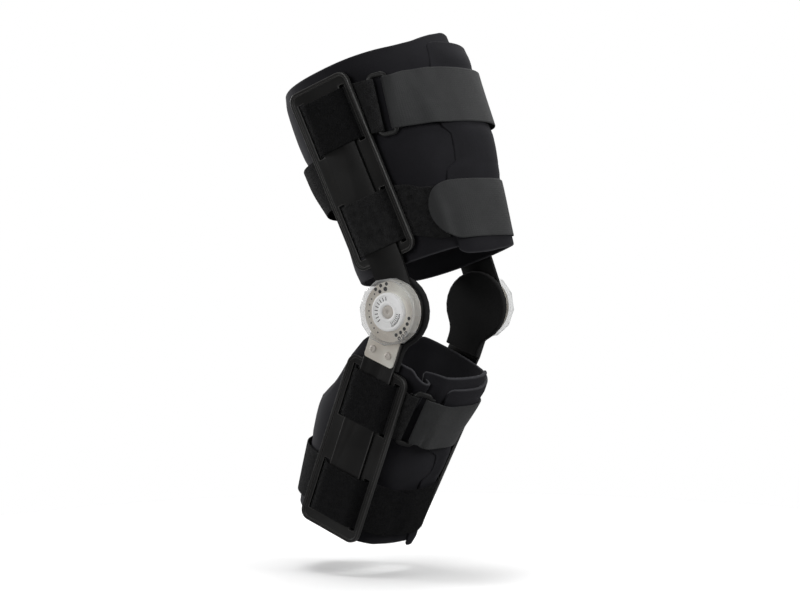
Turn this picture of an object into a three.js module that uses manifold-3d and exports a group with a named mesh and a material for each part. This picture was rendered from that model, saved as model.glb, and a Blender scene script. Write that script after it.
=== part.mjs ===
// Hinged knee brace, worn position, with no leg inside.
// Millimetres. The origin is the middle of the knee axis, +Z is up, +X is the front of the leg,
// -Y is the outer (lateral) side and +Y the inner (medial) side.
import * as THREE from "three";
import { mergeVertices } from "three/addons/utils/BufferGeometryUtils.js";
import Module from "manifold-3d";

const wasm = await Module();
wasm.setup();

// Pose
const thighTilt = 21; // degrees, top of the thigh leans back
const calfTilt = 21; // degrees, foot end of the calf leans back

// Hinge stack, measured outwards from the middle of the leg
const padInner = 62.1;
const padThickness = 6.5;
const barInner = 69;
const barThickness = 3.2;
const steelInner = 72.5;
const steelThickness = 1.6;
const dialInner = 74.4;
const dialHeight = 11.4;
const headRadius = 31;
const padRadius = 34;
const padNeck = 38;
const padFillet = 20;
const padEnd = { lateral: 54, medial: 46 }; // the medial one ends where its bar starts to lean in
const dialRadius = 31.5;
const hubRadius = 18;
const pivotRadius = 4;

// Bars and strap plates
const barWidth = 36;
const barShort = 16; // how far a bar ends before its plate
const barBend = 46; // distance from the knee axis where a bar bends
const thighLean = 8.5; // degrees, outwards going away from the knee
const calfLean = { lateral: 0, medial: -11 };
const plateWidth = 70;
const plateThickness = 3;
const plateRim = 1.6;
const plateRimWidth = 3;
const plateCorner = 10;
const plateStandOff = 4; // from the wrap's widest line to the plate's inner face
const slotOffset = 25;
const slotWidth = 6.4;
const plateInner = barInner - 0.3 - plateThickness;
const wrapHalfWidth = plateInner - plateStandOff;

// Cloth
const wrapThickness = 4;
const layerGap = 0.4;
const flapLift = wrapThickness + layerGap;
const strapThickness = 1.6;
const ringThickness = 3;
const ringWidth = 20;
const ringBar = 4;

const radians = THREE.MathUtils.degToRad;
const smooth = THREE.MathUtils.smoothstep;
const mix = THREE.MathUtils.lerp;

// Cuffs. distance is measured from the knee axis along the leg.
// sections: centre is how far the middle of the section lies in front of the bar line.
// edges: near is the rim at the knee and far the other rim. angle is 0 in front, -90 lateral,
// and the sheet runs backwards from its inner end to the flap that laps over the front.
const thighCuff = {
  sign: 1,
  power: 2.4,
  innerEnd: 13,
  flapFrom: 72,
  flapTo: 30,
  plate: { centre: { lateral: 7, medial: 12 }, start: 48, end: 225, lean: { lateral: thighLean, medial: thighLean } },
  sections: [
    { distance: 20, centre: 11, depth: 71 },
    { distance: 46, centre: 11.7, depth: 73 },
    { distance: 97, centre: 14, depth: 74 },
    { distance: 150, centre: 11, depth: 82.5 },
    { distance: 208, centre: 8.5, depth: 82 },
    { distance: 260, centre: 11, depth: 75 },
  ],
  edges: [
    { angle: 30, near: 36, far: 251 },
    { angle: 10, near: 36, far: 249 },
    { angle: -10, near: 37, far: 242 },
    { angle: -22, near: 38, far: 238 },
    { angle: -40, near: 38, far: 236 },
    { angle: -90, near: 40, far: 236 },
    { angle: -145, near: 44, far: 236 },
    { angle: -180, near: 44, far: 238 },
    { angle: -225, near: 41, far: 238 },
    { angle: -270, near: 38, far: 238 },
    { angle: -300, near: 36, far: 237 },
    { angle: -325, near: 32, far: 236 },
    { angle: -338, near: 30, far: 236 },
    { angle: -357, near: 27.5, far: 236 },
    { angle: -377, near: 29.5, far: 236 },
    { angle: -420, near: 33, far: 236 },
  ],
  flap: [
    { distance: 28, angle: -36 },
    { distance: 36, angle: -40 },
    { distance: 110, angle: -30 },
    { distance: 116, angle: -21 },
    { distance: 142, angle: -19 },
    { distance: 150, angle: -24 },
    { distance: 236, angle: -10 },
    { distance: 260, angle: -9 },
  ],
  levels: [0, 46, 97, 110, 116, 142, 150, 208, 300],
  fold: { angle: 0, spread: 8, depth: 0, reach: 40 },
};
const calfCuff = {
  sign: -1,
  power: 2.7,
  innerEnd: 40,
  flapFrom: 82,
  flapTo: 44,
  plate: { centre: { lateral: 0, medial: 0 }, start: 55, end: 225, lean: calfLean },
  sections: [
    { distance: 40, centre: -8, depth: 67 },
    { distance: 75, centre: -9.5, depth: 65 },
    { distance: 123, centre: -16, depth: 61.5 },
    { distance: 160, centre: -15, depth: 58.5 },
    { distance: 208, centre: -12, depth: 55.5 },
    { distance: 240, centre: -10, depth: 52 },
  ],
  edges: [
    { angle: 45, near: 46, far: 224 },
    { angle: -28, near: 47, far: 226 },
    { angle: -40, near: 49, far: 227 },
    { angle: -46, near: 55, far: 227 },
    { angle: -51, near: 57, far: 227 },
    { angle: -57, near: 53, far: 227 },
    { angle: -65, near: 47.5, far: 227 },
    { angle: -82, near: 46, far: 226 },
    { angle: -95, near: 38, far: 225 },
    { angle: -102, near: 37, far: 224 },
    { angle: -107, near: 48, far: 224 },
    { angle: -122, near: 94, far: 223 },
    { angle: -145, near: 114, far: 222 },
    { angle: -180, near: 118, far: 222 },
    { angle: -208, near: 114, far: 222 },
    { angle: -226, near: 94, far: 222 },
    { angle: -240, near: 54, far: 222 },
    { angle: -252, near: 48, far: 222 },
    { angle: -305, near: 51, far: 222 },
    { angle: -330, near: 55, far: 223 },
    { angle: -350, near: 57, far: 229 },
    { angle: -420, near: 58, far: 229 },
  ],
  flap: [
    { distance: 50, angle: -16 },
    { distance: 64, angle: -20 },
    { distance: 123, angle: -10 },
    { distance: 131, angle: 0 },
    { distance: 146, angle: 3 },
    { distance: 162, angle: -3 },
    { distance: 208, angle: 0 },
    { distance: 240, angle: 6 },
  ],
  levels: [0, 63, 75, 123, 131, 146, 162, 208, 300],
  fold: { angle: -43, spread: 8, depth: 8, reach: 46 },
};

// Straps. level is the distance from the knee axis at the plate slots, and a path gives it round the
// front, with the share of the strap's width that it has there. bridge is how far a strap stands off
// the cloth where it spans to the medial plate.
const thighUpper = {
  level: 186,
  width: 50,
  ringAngle: -59,
  ringTurn: 5,
  bridge: 5,
  path: [
    { angle: -90, level: 186, share: 1 },
    { angle: -57, level: 183.5, share: 1 },
    { angle: -38, level: 182, share: 1.08 },
    { angle: -10, level: 180, share: 1.12 },
    { angle: 35, level: 180, share: 1.12 },
    { angle: 62, level: 182, share: 1.04 },
    { angle: 85, level: 186, share: 1 },
  ],
};
const thighLower = {
  level: 85,
  width: 50,
  path: [
    { angle: -90, level: 85, share: 1 },
    { angle: -68, level: 83, share: 1.12 },
    { angle: -55, level: 75.5, share: 1.12 },
    { angle: -30, level: 71, share: 1.12 },
    { angle: 0, level: 69, share: 1.12 },
    { angle: 30, level: 70.5, share: 1.1 },
    { angle: 58, level: 77, share: 1.02 },
    { angle: 85, level: 85, share: 1 },
  ],
};
const thighBack = { level: 139, width: 48, slack: 5 };
const calfUpper = {
  level: 90,
  width: 48,
  ringAngle: -43,
  ringTurn: 3,
  path: [
    { angle: -90, level: 90, share: 1 },
    { angle: -43, level: 92, share: 1 },
    { angle: -10, level: 98, share: 1 },
    { angle: 40, level: 98, share: 1 },
    { angle: 85, level: 90, share: 1 },
  ],
};
const calfLower = {
  level: 187,
  width: 48,
  path: [
    { angle: -90, level: 187, share: 1 },
    { angle: -45, level: 192, share: 1 },
    { angle: -27, level: 192.5, share: 1 },
    { angle: -10, level: 189.5, share: 1 },
    { angle: 30, level: 184, share: 1 },
    { angle: 85, level: 187, share: 1 },
  ],
};
const calfBack = { level: 187, width: 48, slack: 2.5 };

// Strap over a bar: across is the distance from the bar's middle line, height is measured from the
// plate's inner face.
const crossing = [
  { across: 31, height: -3.6 },
  { across: 27.8, height: -2.4 },
  { across: 24.4, height: 1.3 },
  { across: 21.6, height: 5.2 },
  { across: 18.9, height: 6.75 },
  { across: 9, height: 6.95 },
  { across: 0, height: 7 },
];
// Strap round a ring bar: along is measured forwards from the ring's middle, height from the cloth.
const ringLoop = [
  { along: 13, height: 1.9 },
  { along: 8, height: 2.1 },
  { along: 5.5, height: 2.5 },
  { along: 5.1, height: 4 },
  { along: 5.5, height: 5.5 },
  { along: 8, height: 6 },
  { along: 12, height: 5.7 },
];
const ringBase = 2.5;
const ringRise = 4.2; // how far a strap lies above the cloth just past its ring bar

const materials = {
  foam: new THREE.MeshStandardMaterial({ color: 0x1c1c21, roughness: 0.95, metalness: 0 }),
  plate: new THREE.MeshStandardMaterial({ color: 0x191817, roughness: 0.45, metalness: 0 }),
  bar: new THREE.MeshStandardMaterial({ color: 0x151515, roughness: 0.4, metalness: 0.2 }),
  webbing: new THREE.MeshStandardMaterial({ color: 0x353637, roughness: 0.9, metalness: 0 }),
  pile: new THREE.MeshStandardMaterial({ color: 0x101012, roughness: 1, metalness: 0 }),
  ring: new THREE.MeshStandardMaterial({ color: 0x222222, roughness: 0.35, metalness: 0 }),
  steel: new THREE.MeshStandardMaterial({ color: 0xbeb6ac, roughness: 0.35, metalness: 1 }),
  clear: new THREE.MeshStandardMaterial({ color: 0xe9eef0, roughness: 0.1, metalness: 0, transparent: true, opacity: 0.4 }),
  frosted: new THREE.MeshStandardMaterial({ color: 0xdfe0e2, roughness: 0.5, metalness: 0 }),
  rivet: new THREE.MeshStandardMaterial({ color: 0x8f8f90, roughness: 0.4, metalness: 0.9 }),
  pad: new THREE.MeshStandardMaterial({ color: 0x121213, roughness: 0.85, metalness: 0 }),
  pin: new THREE.MeshStandardMaterial({ color: 0x2a2a2a, roughness: 0.5, metalness: 0.6 }),
};

function lookUp(rows, key, value, column) {
  const rising = rows[rows.length - 1][key] > rows[0][key];
  for (let i = 1; i < rows.length; i++) {
    const inside = rising ? value <= rows[i][key] : value >= rows[i][key];
    if (inside || i === rows.length - 1) {
      const part = (value - rows[i - 1][key]) / (rows[i][key] - rows[i - 1][key]);
      return mix(rows[i - 1][column], rows[i][column], THREE.MathUtils.clamp(part, 0, 1));
    }
  }
}

function toSolid(geometry) {
  const plain = geometry.clone();
  plain.deleteAttribute("normal");
  plain.deleteAttribute("uv");
  const merged = mergeVertices(plain, 1e-4);
  return new wasm.Manifold(
    new wasm.Mesh({
      numProp: 3,
      vertProperties: new Float32Array(merged.attributes.position.array),
      triVerts: new Uint32Array(merged.index.array),
    }),
  );
}

function fromSolid(solid) {
  const mesh = solid.getMesh();
  const geometry = new THREE.BufferGeometry();
  geometry.setAttribute("position", new THREE.BufferAttribute(mesh.vertProperties, 3));
  geometry.setIndex(new THREE.BufferAttribute(mesh.triVerts, 1));
  geometry.computeVertexNormals();
  return geometry;
}

const join = (...geometries) => fromSolid(geometries.map(toSolid).reduce((a, b) => a.add(b)));
const cut = (geometry, ...tools) => fromSolid(tools.map(toSolid).reduce((a, b) => a.subtract(b), toSolid(geometry)));

function extrude(shape, depth, start = 0, curveSegments = 6) {
  const geometry = new THREE.ExtrudeGeometry(shape, { depth, bevelEnabled: false, curveSegments });
  return geometry.translate(0, 0, start);
}

function roundedRectangle(left, bottom, width, height, radius) {
  const right = left + width;
  const top = bottom + height;
  const shape = new THREE.Shape();
  shape.moveTo(left + radius, bottom);
  shape.lineTo(right - radius, bottom);
  shape.absarc(right - radius, bottom + radius, radius, -Math.PI / 2, 0);
  shape.lineTo(right, top - radius);
  shape.absarc(right - radius, top - radius, radius, 0, Math.PI / 2);
  shape.lineTo(left + radius, top);
  shape.absarc(left + radius, top - radius, radius, Math.PI / 2, Math.PI);
  shape.lineTo(left, bottom + radius);
  shape.absarc(left + radius, bottom + radius, radius, Math.PI, Math.PI * 1.5);
  return shape;
}

function rectangle(x, y, width, height) {
  return new THREE.Shape([
    new THREE.Vector2(x - width / 2, y - height / 2),
    new THREE.Vector2(x + width / 2, y - height / 2),
    new THREE.Vector2(x + width / 2, y + height / 2),
    new THREE.Vector2(x - width / 2, y + height / 2),
  ]);
}

function disc(x, y, radius, depth, start, segments) {
  const geometry = new THREE.CylinderGeometry(radius, radius, depth, segments);
  return geometry.rotateX(Math.PI / 2).translate(x, y, start + depth / 2);
}

// A closed sheet from a grid of points on its inner (side 0) and outer (side 1) face.
function thickSheet(columns, rows, place) {
  const positions = [];
  for (let side = 0; side < 2; side++)
    for (let j = 0; j <= rows; j++)
      for (let i = 0; i <= columns; i++) positions.push(...place(i, j, side).toArray());
  const at = (i, j, side) => (side * (rows + 1) + j) * (columns + 1) + i;
  const indices = [];
  const quad = (a, b, c, d) => indices.push(a, b, c, a, c, d);
  for (let j = 0; j < rows; j++)
    for (let i = 0; i < columns; i++) {
      quad(at(i, j, 1), at(i + 1, j, 1), at(i + 1, j + 1, 1), at(i, j + 1, 1));
      quad(at(i, j, 0), at(i, j + 1, 0), at(i + 1, j + 1, 0), at(i + 1, j, 0));
    }
  for (let i = 0; i < columns; i++) {
    quad(at(i, 0, 0), at(i + 1, 0, 0), at(i + 1, 0, 1), at(i, 0, 1));
    quad(at(i, rows, 1), at(i + 1, rows, 1), at(i + 1, rows, 0), at(i, rows, 0));
  }
  for (let j = 0; j < rows; j++) {
    quad(at(0, j, 1), at(0, j + 1, 1), at(0, j + 1, 0), at(0, j, 0));
    quad(at(columns, j, 0), at(columns, j + 1, 0), at(columns, j + 1, 1), at(columns, j, 1));
  }
  const point = (index) => new THREE.Vector3().fromArray(positions, index * 3);
  let volume = 0;
  for (let i = 0; i < indices.length; i += 3)
    volume += point(indices[i]).dot(point(indices[i + 1]).cross(point(indices[i + 2])));
  if (volume < 0) for (let i = 0; i < indices.length; i += 3) indices.splice(i, 2, indices[i + 1], indices[i]);
  const geometry = new THREE.BufferGeometry();
  geometry.setAttribute("position", new THREE.Float32BufferAttribute(positions, 3));
  geometry.setIndex(indices);
  geometry.computeVertexNormals();
  return geometry;
}

// The wrap's width follows the bars, which lean after their bend.
function halfWidth(cuff, distance, side) {
  return wrapHalfWidth + Math.max(0, distance - barBend) * Math.tan(radians(cuff.plate.lean[side]));
}

// A point on a cuff, offset outwards from the single layer's outer face.
function cuffPoint(cuff, distance, angle, offset) {
  const centre = lookUp(cuff.sections, "distance", distance, "centre");
  const depth = lookUp(cuff.sections, "distance", distance, "depth");
  const c = Math.cos(radians(angle));
  const s = Math.sin(radians(angle));
  const width = halfWidth(cuff, distance, s < 0 ? "lateral" : "medial");
  const shape = (value, power) => Math.sign(value) * Math.abs(value) ** power;
  const normal = new THREE.Vector2(
    shape(c, 2 - 2 / cuff.power) / depth,
    shape(s, 2 - 2 / cuff.power) / width,
  ).normalize();
  return new THREE.Vector3(
    centre + depth * shape(c, 2 / cuff.power) + offset * normal.x,
    width * shape(s, 2 / cuff.power) + offset * normal.y,
    cuff.sign * distance,
  );
}

// How far the flap, or the cloth that climbs over its edge, lifts what lies on it.
function lapLift(cuff, distance, angle) {
  const edge = lookUp(cuff.flap, "distance", distance, "angle");
  return flapLift * Math.min(smooth(angle, edge - 19, edge - 5), 1 - smooth(angle, cuff.flapTo, cuff.flapFrom));
}

function wrapGeometry(cuff, columns) {
  return thickSheet(columns, cuff.levels.length - 1, (i, j, side) => {
    const part = i / columns;
    const rough = mix(cuff.innerEnd, -378, part);
    const near = lookUp(cuff.edges, "angle", rough, "near");
    const far = lookUp(cuff.edges, "angle", rough, "far");
    const last = cuff.levels.length - 1;
    const distance = j === 0 ? near : j === last ? far : THREE.MathUtils.clamp(cuff.levels[j], near + 2 * j, far - 2 * (last - j));
    const end = lookUp(cuff.flap, "distance", distance, "angle") - 360;
    const angle = mix(cuff.innerEnd, end, part);
    const lift = flapLift * (1 - smooth(angle, cuff.flapTo - 360, cuff.flapFrom - 360));
    const { fold } = cuff;
    const turn = (angle - fold.angle) / fold.spread;
    const dent = fold.depth * Math.exp(-turn * turn) * Math.max(0, 1 - (distance - 45) / fold.reach);
    return cuffPoint(cuff, distance, angle, lift - dent - (1 - side) * wrapThickness);
  });
}

// A strap swept through stations. Each station gives a place for an offset across the strap.
function strapGeometry(stations, width) {
  const edges = [-1, 1].map((way) => stations.map(({ place, share = 1 }) => place((way * share * width) / 2)));
  const columns = stations.length - 1;
  const outward = (i) => {
    const before = Math.max(0, i - 1);
    const after = Math.min(columns, i + 1);
    const along = edges[0][after].clone().sub(edges[0][before]).add(edges[1][after]).sub(edges[1][before]);
    const across = edges[1][i].clone().sub(edges[0][i]);
    return along.cross(across).normalize();
  };
  return thickSheet(columns, 1, (i, j, side) => edges[j][i].clone().addScaledVector(outward(i), side * strapThickness));
}

// How far a strap stands off the cloth: past its ring it comes down slowly, and it bridges to the
// medial plate.
function standOff({ ringAngle, bridge = 0 }, angle) {
  const past = ringAngle === undefined ? 0 : ringRise * (1 - smooth(angle, ringAngle + 8, ringAngle + 38));
  return past + bridge * smooth(angle, 5, 45);
}

// Stations on the cloth, rising over the flap where it lies under the strap.
function onCloth(cuff, strap, angles, { extra = 0, lapped = 1, widened = true } = {}) {
  return angles.map((angle) => ({
    share: widened ? lookUp(strap.path, "angle", angle, "share") : 1,
    place: (offset) => {
      const distance = lookUp(strap.path, "angle", angle, "level") + cuff.sign * offset;
      const lift = lapped * lapLift(cuff, distance, angle) + standOff(strap, angle);
      return cuffPoint(cuff, distance, angle, lift + layerGap + extra);
    },
  }));
}

// Stations over a bar and through the slots of a plate, from the rear to the front on the lateral
// side (-1) and from the front to the rear on the medial side (1).
function overBar(cuff, side, level) {
  const where = side < 0 ? "lateral" : "medial";
  const centre = cuff.plate.centre[where];
  const tilt = radians(cuff.plate.lean[where]);
  const rear = crossing.map(({ across, height }) => ({ across: -across, height }));
  const front = crossing.slice(cuff === thighCuff ? 0 : 1, -1).reverse();
  const rows = side < 0 ? [...rear, ...front] : [...rear, ...front].reverse();
  return rows.map(({ across, height }) => ({
    place: (offset) => {
      const along = (level - barBend) / Math.cos(tilt) + cuff.sign * offset;
      return new THREE.Vector3(
        centre + across,
        side * (plateInner + along * Math.sin(tilt) + height * Math.cos(tilt)),
        cuff.sign * (barBend + along * Math.cos(tilt) - height * Math.sin(tilt)),
      );
    },
  }));
}

// The frame of a ring that lies on the cloth: X runs forwards, Y up and Z outwards.
function ringFrame(cuff, strap) {
  const level = lookUp(strap.path, "angle", strap.ringAngle, "level");
  const origin = cuffPoint(cuff, level, strap.ringAngle, layerGap);
  const along = cuffPoint(cuff, level, strap.ringAngle + 1, layerGap).sub(origin).normalize();
  const up = cuffPoint(cuff, level + cuff.sign, strap.ringAngle, layerGap).sub(origin).normalize();
  const out = along.clone().cross(up).normalize();
  const frame = new THREE.Matrix4().makeBasis(along, out.clone().cross(along), out).setPosition(origin);
  return frame.multiply(new THREE.Matrix4().makeRotationZ(radians(-strap.ringTurn)));
}

function roundRing(frame, way) {
  const rows = ringLoop.map(({ along, height }) => ({ along: way * along, height }));
  return (way > 0 ? rows : rows.reverse()).map(({ along, height }) => ({
    place: (offset) => new THREE.Vector3(along, offset, height).applyMatrix4(frame),
  }));
}

const range = (from, to, step) =>
  Array.from({ length: Math.round((to - from) / step) + 1 }, (_, i) => from + i * step);

function plateGeometry(cuff, side) {
  const { start, end, lean } = cuff.plate;
  const centre = cuff.plate.centre[side];
  const tilt = radians(lean[side]);
  const along = (distance) => cuff.sign * ((distance - barBend) / Math.cos(tilt));
  const bottom = Math.min(along(start), along(end));
  const length = Math.abs(along(end) - along(start));
  const floor = roundedRectangle(-plateWidth / 2, bottom, plateWidth, length, plateCorner);
  const straps = cuff === thighCuff ? [thighUpper, thighLower] : [calfUpper, calfLower];
  const slots = straps.flatMap(({ level, width }) =>
    [-1, 1].map((way) =>
      new THREE.BoxGeometry(slotWidth, width + 5, 4 * plateThickness).translate(way * slotOffset, along(level), 0),
    ),
  );
  const rim = roundedRectangle(-plateWidth / 2, bottom, plateWidth, length, plateCorner);
  rim.holes.push(
    roundedRectangle(
      plateRimWidth - plateWidth / 2,
      bottom + plateRimWidth,
      plateWidth - 2 * plateRimWidth,
      length - 2 * plateRimWidth,
      plateCorner - plateRimWidth,
    ),
  );
  const notch = new THREE.BoxGeometry(barWidth + 1.4, 30, plateRim + 2);
  notch.translate(0, along(start), plateThickness + plateRim / 2 + 1);
  const raised = cut(extrude(rim, plateThickness / 2 + plateRim, plateThickness / 2, 3), notch);
  const geometry = join(cut(extrude(floor, plateThickness, 0, 3), ...slots), raised);
  geometry.rotateX(Math.PI / 2 + cuff.sign * tilt);
  return geometry.translate(centre, -plateInner, cuff.sign * barBend);
}

// A bar: flat beside the hinge, then leaning with its plate.
function barGeometry(cuff, side) {
  const { end, lean } = cuff.plate;
  const centre = cuff.plate.centre[side];
  const tilt = radians(lean[side]);
  const strip = (from, to, radius) => {
    const bottom = Math.min(cuff.sign * from, cuff.sign * to);
    return extrude(roundedRectangle(centre - barWidth / 2, bottom, barWidth, to - from, radius), barThickness, 0, 3);
  };
  const straight = (from, to) => {
    const middle = (cuff.sign * (from + to)) / 2;
    return extrude(rectangle(centre, middle, barWidth, to - from), barThickness);
  };
  let flat;
  if (cuff === thighCuff) {
    const head = disc(0, 0, headRadius, barThickness, 0, 30);
    flat = cut(join(straight(6, barBend + 0.2), head), disc(0, 0, pivotRadius + 0.3, barThickness + 2, -1, 12));
  } else {
    const clearance = disc(0, 0, headRadius + 0.8, barThickness + 2, -1, 40);
    const holes = screwPlaces.map(({ x, z }) => disc(x, z, 2.3, barThickness + 2, -1, 8));
    flat = cut(straight(24, barBend + 0.2), clearance, ...holes);
  }
  flat.rotateX(Math.PI / 2).translate(0, -barInner, 0);
  const length = (end - barBend) / Math.cos(tilt) - barShort;
  const leaning = join(strip(-1, length, 6), straight(-1, 12));
  leaning.rotateX(Math.PI / 2 + cuff.sign * tilt).translate(0, -barInner, cuff.sign * barBend);
  return join(flat, leaning);
}

// Hinge pieces are drawn as seen from outside: x forwards, z up, and extruded outwards.
const screwPlaces = [
  { x: -9, z: -41 },
  { x: 9, z: -41 },
];
const stopArcs = [
  { radius: 21.8, from: 98, step: 13, count: 4 },
  { radius: 26.4, from: 94, step: 11, count: 4 },
  { radius: 21.8, from: -62, step: 13, count: 5 },
  { radius: 26.4, from: -56, step: 11, count: 3 },
];
const stopHoles = stopArcs.flatMap(({ radius, from, step, count }) =>
  range(0, count - 1, 1).map((i) => {
    const turn = radians(from + i * step);
    return { x: radius * Math.cos(turn), z: radius * Math.sin(turn) };
  }),
);
const pinPlaces = [stopHoles[0], stopHoles[10]];
const hingeTab = { width: 34, end: 51 };

const faceOutwards = (geometry, inner) => geometry.rotateX(Math.PI / 2).translate(0, -inner, 0);

function hingePlateGeometry() {
  const tab = extrude(roundedRectangle(-hingeTab.width / 2, -hingeTab.end, hingeTab.width, hingeTab.end, 3), steelThickness, 0, 3);
  const holes = [
    disc(0, 0, pivotRadius + 0.3, steelThickness + 2, -1, 12),
    ...screwPlaces.map(({ x, z }) => disc(x, z, 2.3, steelThickness + 2, -1, 8)),
    ...stopHoles.map(({ x, z }) => disc(x, z, 1.7, steelThickness + 2, -1, 6)),
  ];
  return faceOutwards(cut(join(tab, disc(0, 0, headRadius - 1, steelThickness, 0, 30)), ...holes), steelInner);
}

function dialCoverGeometry() {
  const chamfer = 1.4;
  const outside = new THREE.LatheGeometry(
    [
      new THREE.Vector2(0, 0),
      new THREE.Vector2(dialRadius, 0),
      new THREE.Vector2(dialRadius, dialHeight - chamfer),
      new THREE.Vector2(dialRadius - chamfer, dialHeight),
      new THREE.Vector2(0, dialHeight),
    ],
    12,
  );
  outside.rotateX(Math.PI / 2).rotateZ(Math.PI / 12);
  return faceOutwards(
    cut(outside, disc(0, 0, dialRadius * Math.cos(Math.PI / 12) - 1.8, dialHeight - 1.6, -0.01, 24), disc(0, 0, hubRadius + 0.3, dialHeight + 2, -1, 24)),
    dialInner,
  );
}

function dialHubGeometry() {
  const hub = new THREE.LatheGeometry(
    [
      new THREE.Vector2(pivotRadius + 2.4, 0),
      new THREE.Vector2(hubRadius, 0),
      new THREE.Vector2(hubRadius, dialHeight - 2),
      new THREE.Vector2(hubRadius - 1.2, dialHeight - 1),
      new THREE.Vector2(pivotRadius + 4, dialHeight - 1),
      new THREE.Vector2(pivotRadius + 2.4, dialHeight - 2.2),
      new THREE.Vector2(pivotRadius + 2.4, 0),
    ],
    20,
  );
  return faceOutwards(fromSolid(toSolid(hub.rotateX(Math.PI / 2))), dialInner);
}

// Turned pieces lie along the hinge axis. Rows give the radius at a height above the inner end.
function turned(rows, inner, segments, x = 0, z = 0) {
  const first = rows[0];
  const last = rows[rows.length - 1];
  const outline = [
    new THREE.Vector2(0, first.height),
    ...rows.map(({ radius, height }) => new THREE.Vector2(radius, height)),
    new THREE.Vector2(0, last.height),
  ];
  const geometry = fromSolid(toSolid(new THREE.LatheGeometry(outline, segments).rotateX(Math.PI / 2)));
  return faceOutwards(geometry.translate(x, z, 0), inner);
}

const pivotGeometry = () =>
  turned(
    [
      { radius: pivotRadius, height: 0 },
      { radius: pivotRadius, height: dialInner - barInner + 5 },
      { radius: pivotRadius + 2, height: dialInner - barInner + 5 },
      { radius: pivotRadius + 2, height: dialInner - barInner + 8.8 },
      { radius: pivotRadius + 1.2, height: dialInner - barInner + 9.5 },
    ],
    barInner,
    12,
  );

const screwGeometry = ({ x, z }) =>
  turned(
    [
      { radius: 2, height: 0 },
      { radius: 2, height: steelInner + steelThickness - barInner + 0.3 },
      { radius: 3.7, height: steelInner + steelThickness - barInner + 0.3 },
      { radius: 3.4, height: steelInner + steelThickness - barInner + 1.3 },
      { radius: 2, height: steelInner + steelThickness - barInner + 1.8 },
    ],
    barInner,
    8,
    x,
    z,
  );

const pinGeometry = ({ x, z }) =>
  turned(
    [
      { radius: 1.4, height: 0.1 },
      { radius: 1.4, height: steelThickness + 0.3 },
      { radius: 2.1, height: steelThickness + 0.3 },
      { radius: 2.1, height: steelThickness + 1.5 },
    ],
    steelInner,
    6,
    x,
    z,
  );

const arcPoints = (x, z, radius, from, to, count) =>
  range(0, count, 1).map((i) => {
    const turn = mix(from, to, i / count);
    return new THREE.Vector2(x + radius * Math.cos(turn), z + radius * Math.sin(turn));
  });

// A hinge pad is a disc with a neck behind its bar, joined by fillets.
function hingePadGeometry(side) {
  const bevel = 1.4;
  const half = padNeck / 2 - bevel;
  const end = bevel - padEnd[side];
  const radius = padRadius - bevel;
  const fillet = padFillet + bevel;
  const middle = half + fillet;
  const level = -Math.sqrt((radius + fillet) ** 2 - middle ** 2);
  const turn = Math.atan2(-level, middle);
  const outline = [
    ...arcPoints(0, 0, radius, -turn, Math.PI + turn, 20),
    ...arcPoints(-middle, level, fillet, turn, 0, 4).slice(1),
    new THREE.Vector2(-half, end),
    new THREE.Vector2(half, end),
    ...arcPoints(middle, level, fillet, Math.PI, Math.PI - turn, 4).slice(0, -1),
  ];
  const geometry = new THREE.ExtrudeGeometry(new THREE.Shape(outline), {
    depth: padThickness - 2 * bevel,
    bevelEnabled: true,
    bevelThickness: bevel,
    bevelSize: bevel,
    bevelSegments: 1,
  });
  return faceOutwards(fromSolid(toSolid(geometry.translate(0, 0, bevel))), padInner);
}

function ringGeometry(cuff, strap) {
  const length = strap.width + 11;
  const shape = roundedRectangle(-ringWidth / 2, -length / 2, ringWidth, length, 6);
  shape.holes.push(
    roundedRectangle(ringBar - ringWidth / 2, ringBar - length / 2, ringWidth - 2 * ringBar, length - 2 * ringBar, 2.5),
  );
  return extrude(shape, ringThickness, ringBase, 2).applyMatrix4(ringFrame(cuff, strap));
}

// Straps of the thigh
const thighRing = ringFrame(thighCuff, thighUpper);
const thighUpperAnchor = strapGeometry(
  [...overBar(thighCuff, -1, thighUpper.level), ...roundRing(thighRing, -1)],
  thighUpper.width,
);
const thighUpperStrap = strapGeometry(
  [
    ...roundRing(thighRing, 1),
    ...onCloth(thighCuff, thighUpper, range(-38, 66, 104 / 13)),
    ...overBar(thighCuff, 1, thighUpper.level),
  ],
  thighUpper.width,
);
const thighLowerAnchor = strapGeometry(
  [
    ...overBar(thighCuff, -1, thighLower.level),
    ...onCloth(thighCuff, thighLower, range(-68, -44, 6), { lapped: 0, widened: false }),
  ],
  thighLower.width,
);
const tip = [
  { angle: -54.5, share: 0.2 },
  { angle: -53.8, share: 0.45 },
  { angle: -52.2, share: 0.66 },
  { angle: -49.5, share: 0.85 },
  { angle: -46, share: 0.96 },
];
const tipAngles = tip.map(({ angle }) => angle);
const tipStations = onCloth(thighCuff, thighLower, tipAngles, { extra: strapThickness + layerGap + 0.2 });
const thighLowerStrap = strapGeometry(
  [
    ...tipStations.map((station, i) => ({ ...station, share: station.share * tip[i].share })),
    ...onCloth(thighCuff, thighLower, range(-40, 66, 106 / 13)),
    ...overBar(thighCuff, 1, thighLower.level),
  ],
  thighLower.width,
);
const roundBack = (cuff, strap, from, to) =>
  range(from, to, (to - from) / 22).map((angle) => ({
    place: (offset) => {
      const distance = strap.level + cuff.sign * offset;
      const slack = strap.slack * smooth(angle, from, from + 40) * (1 - smooth(angle, to - 40, to));
      return cuffPoint(cuff, distance, angle, layerGap + slack);
    },
  }));
const thighBackStrap = strapGeometry(roundBack(thighCuff, thighBack, 98, 262), thighBack.width);

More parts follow.
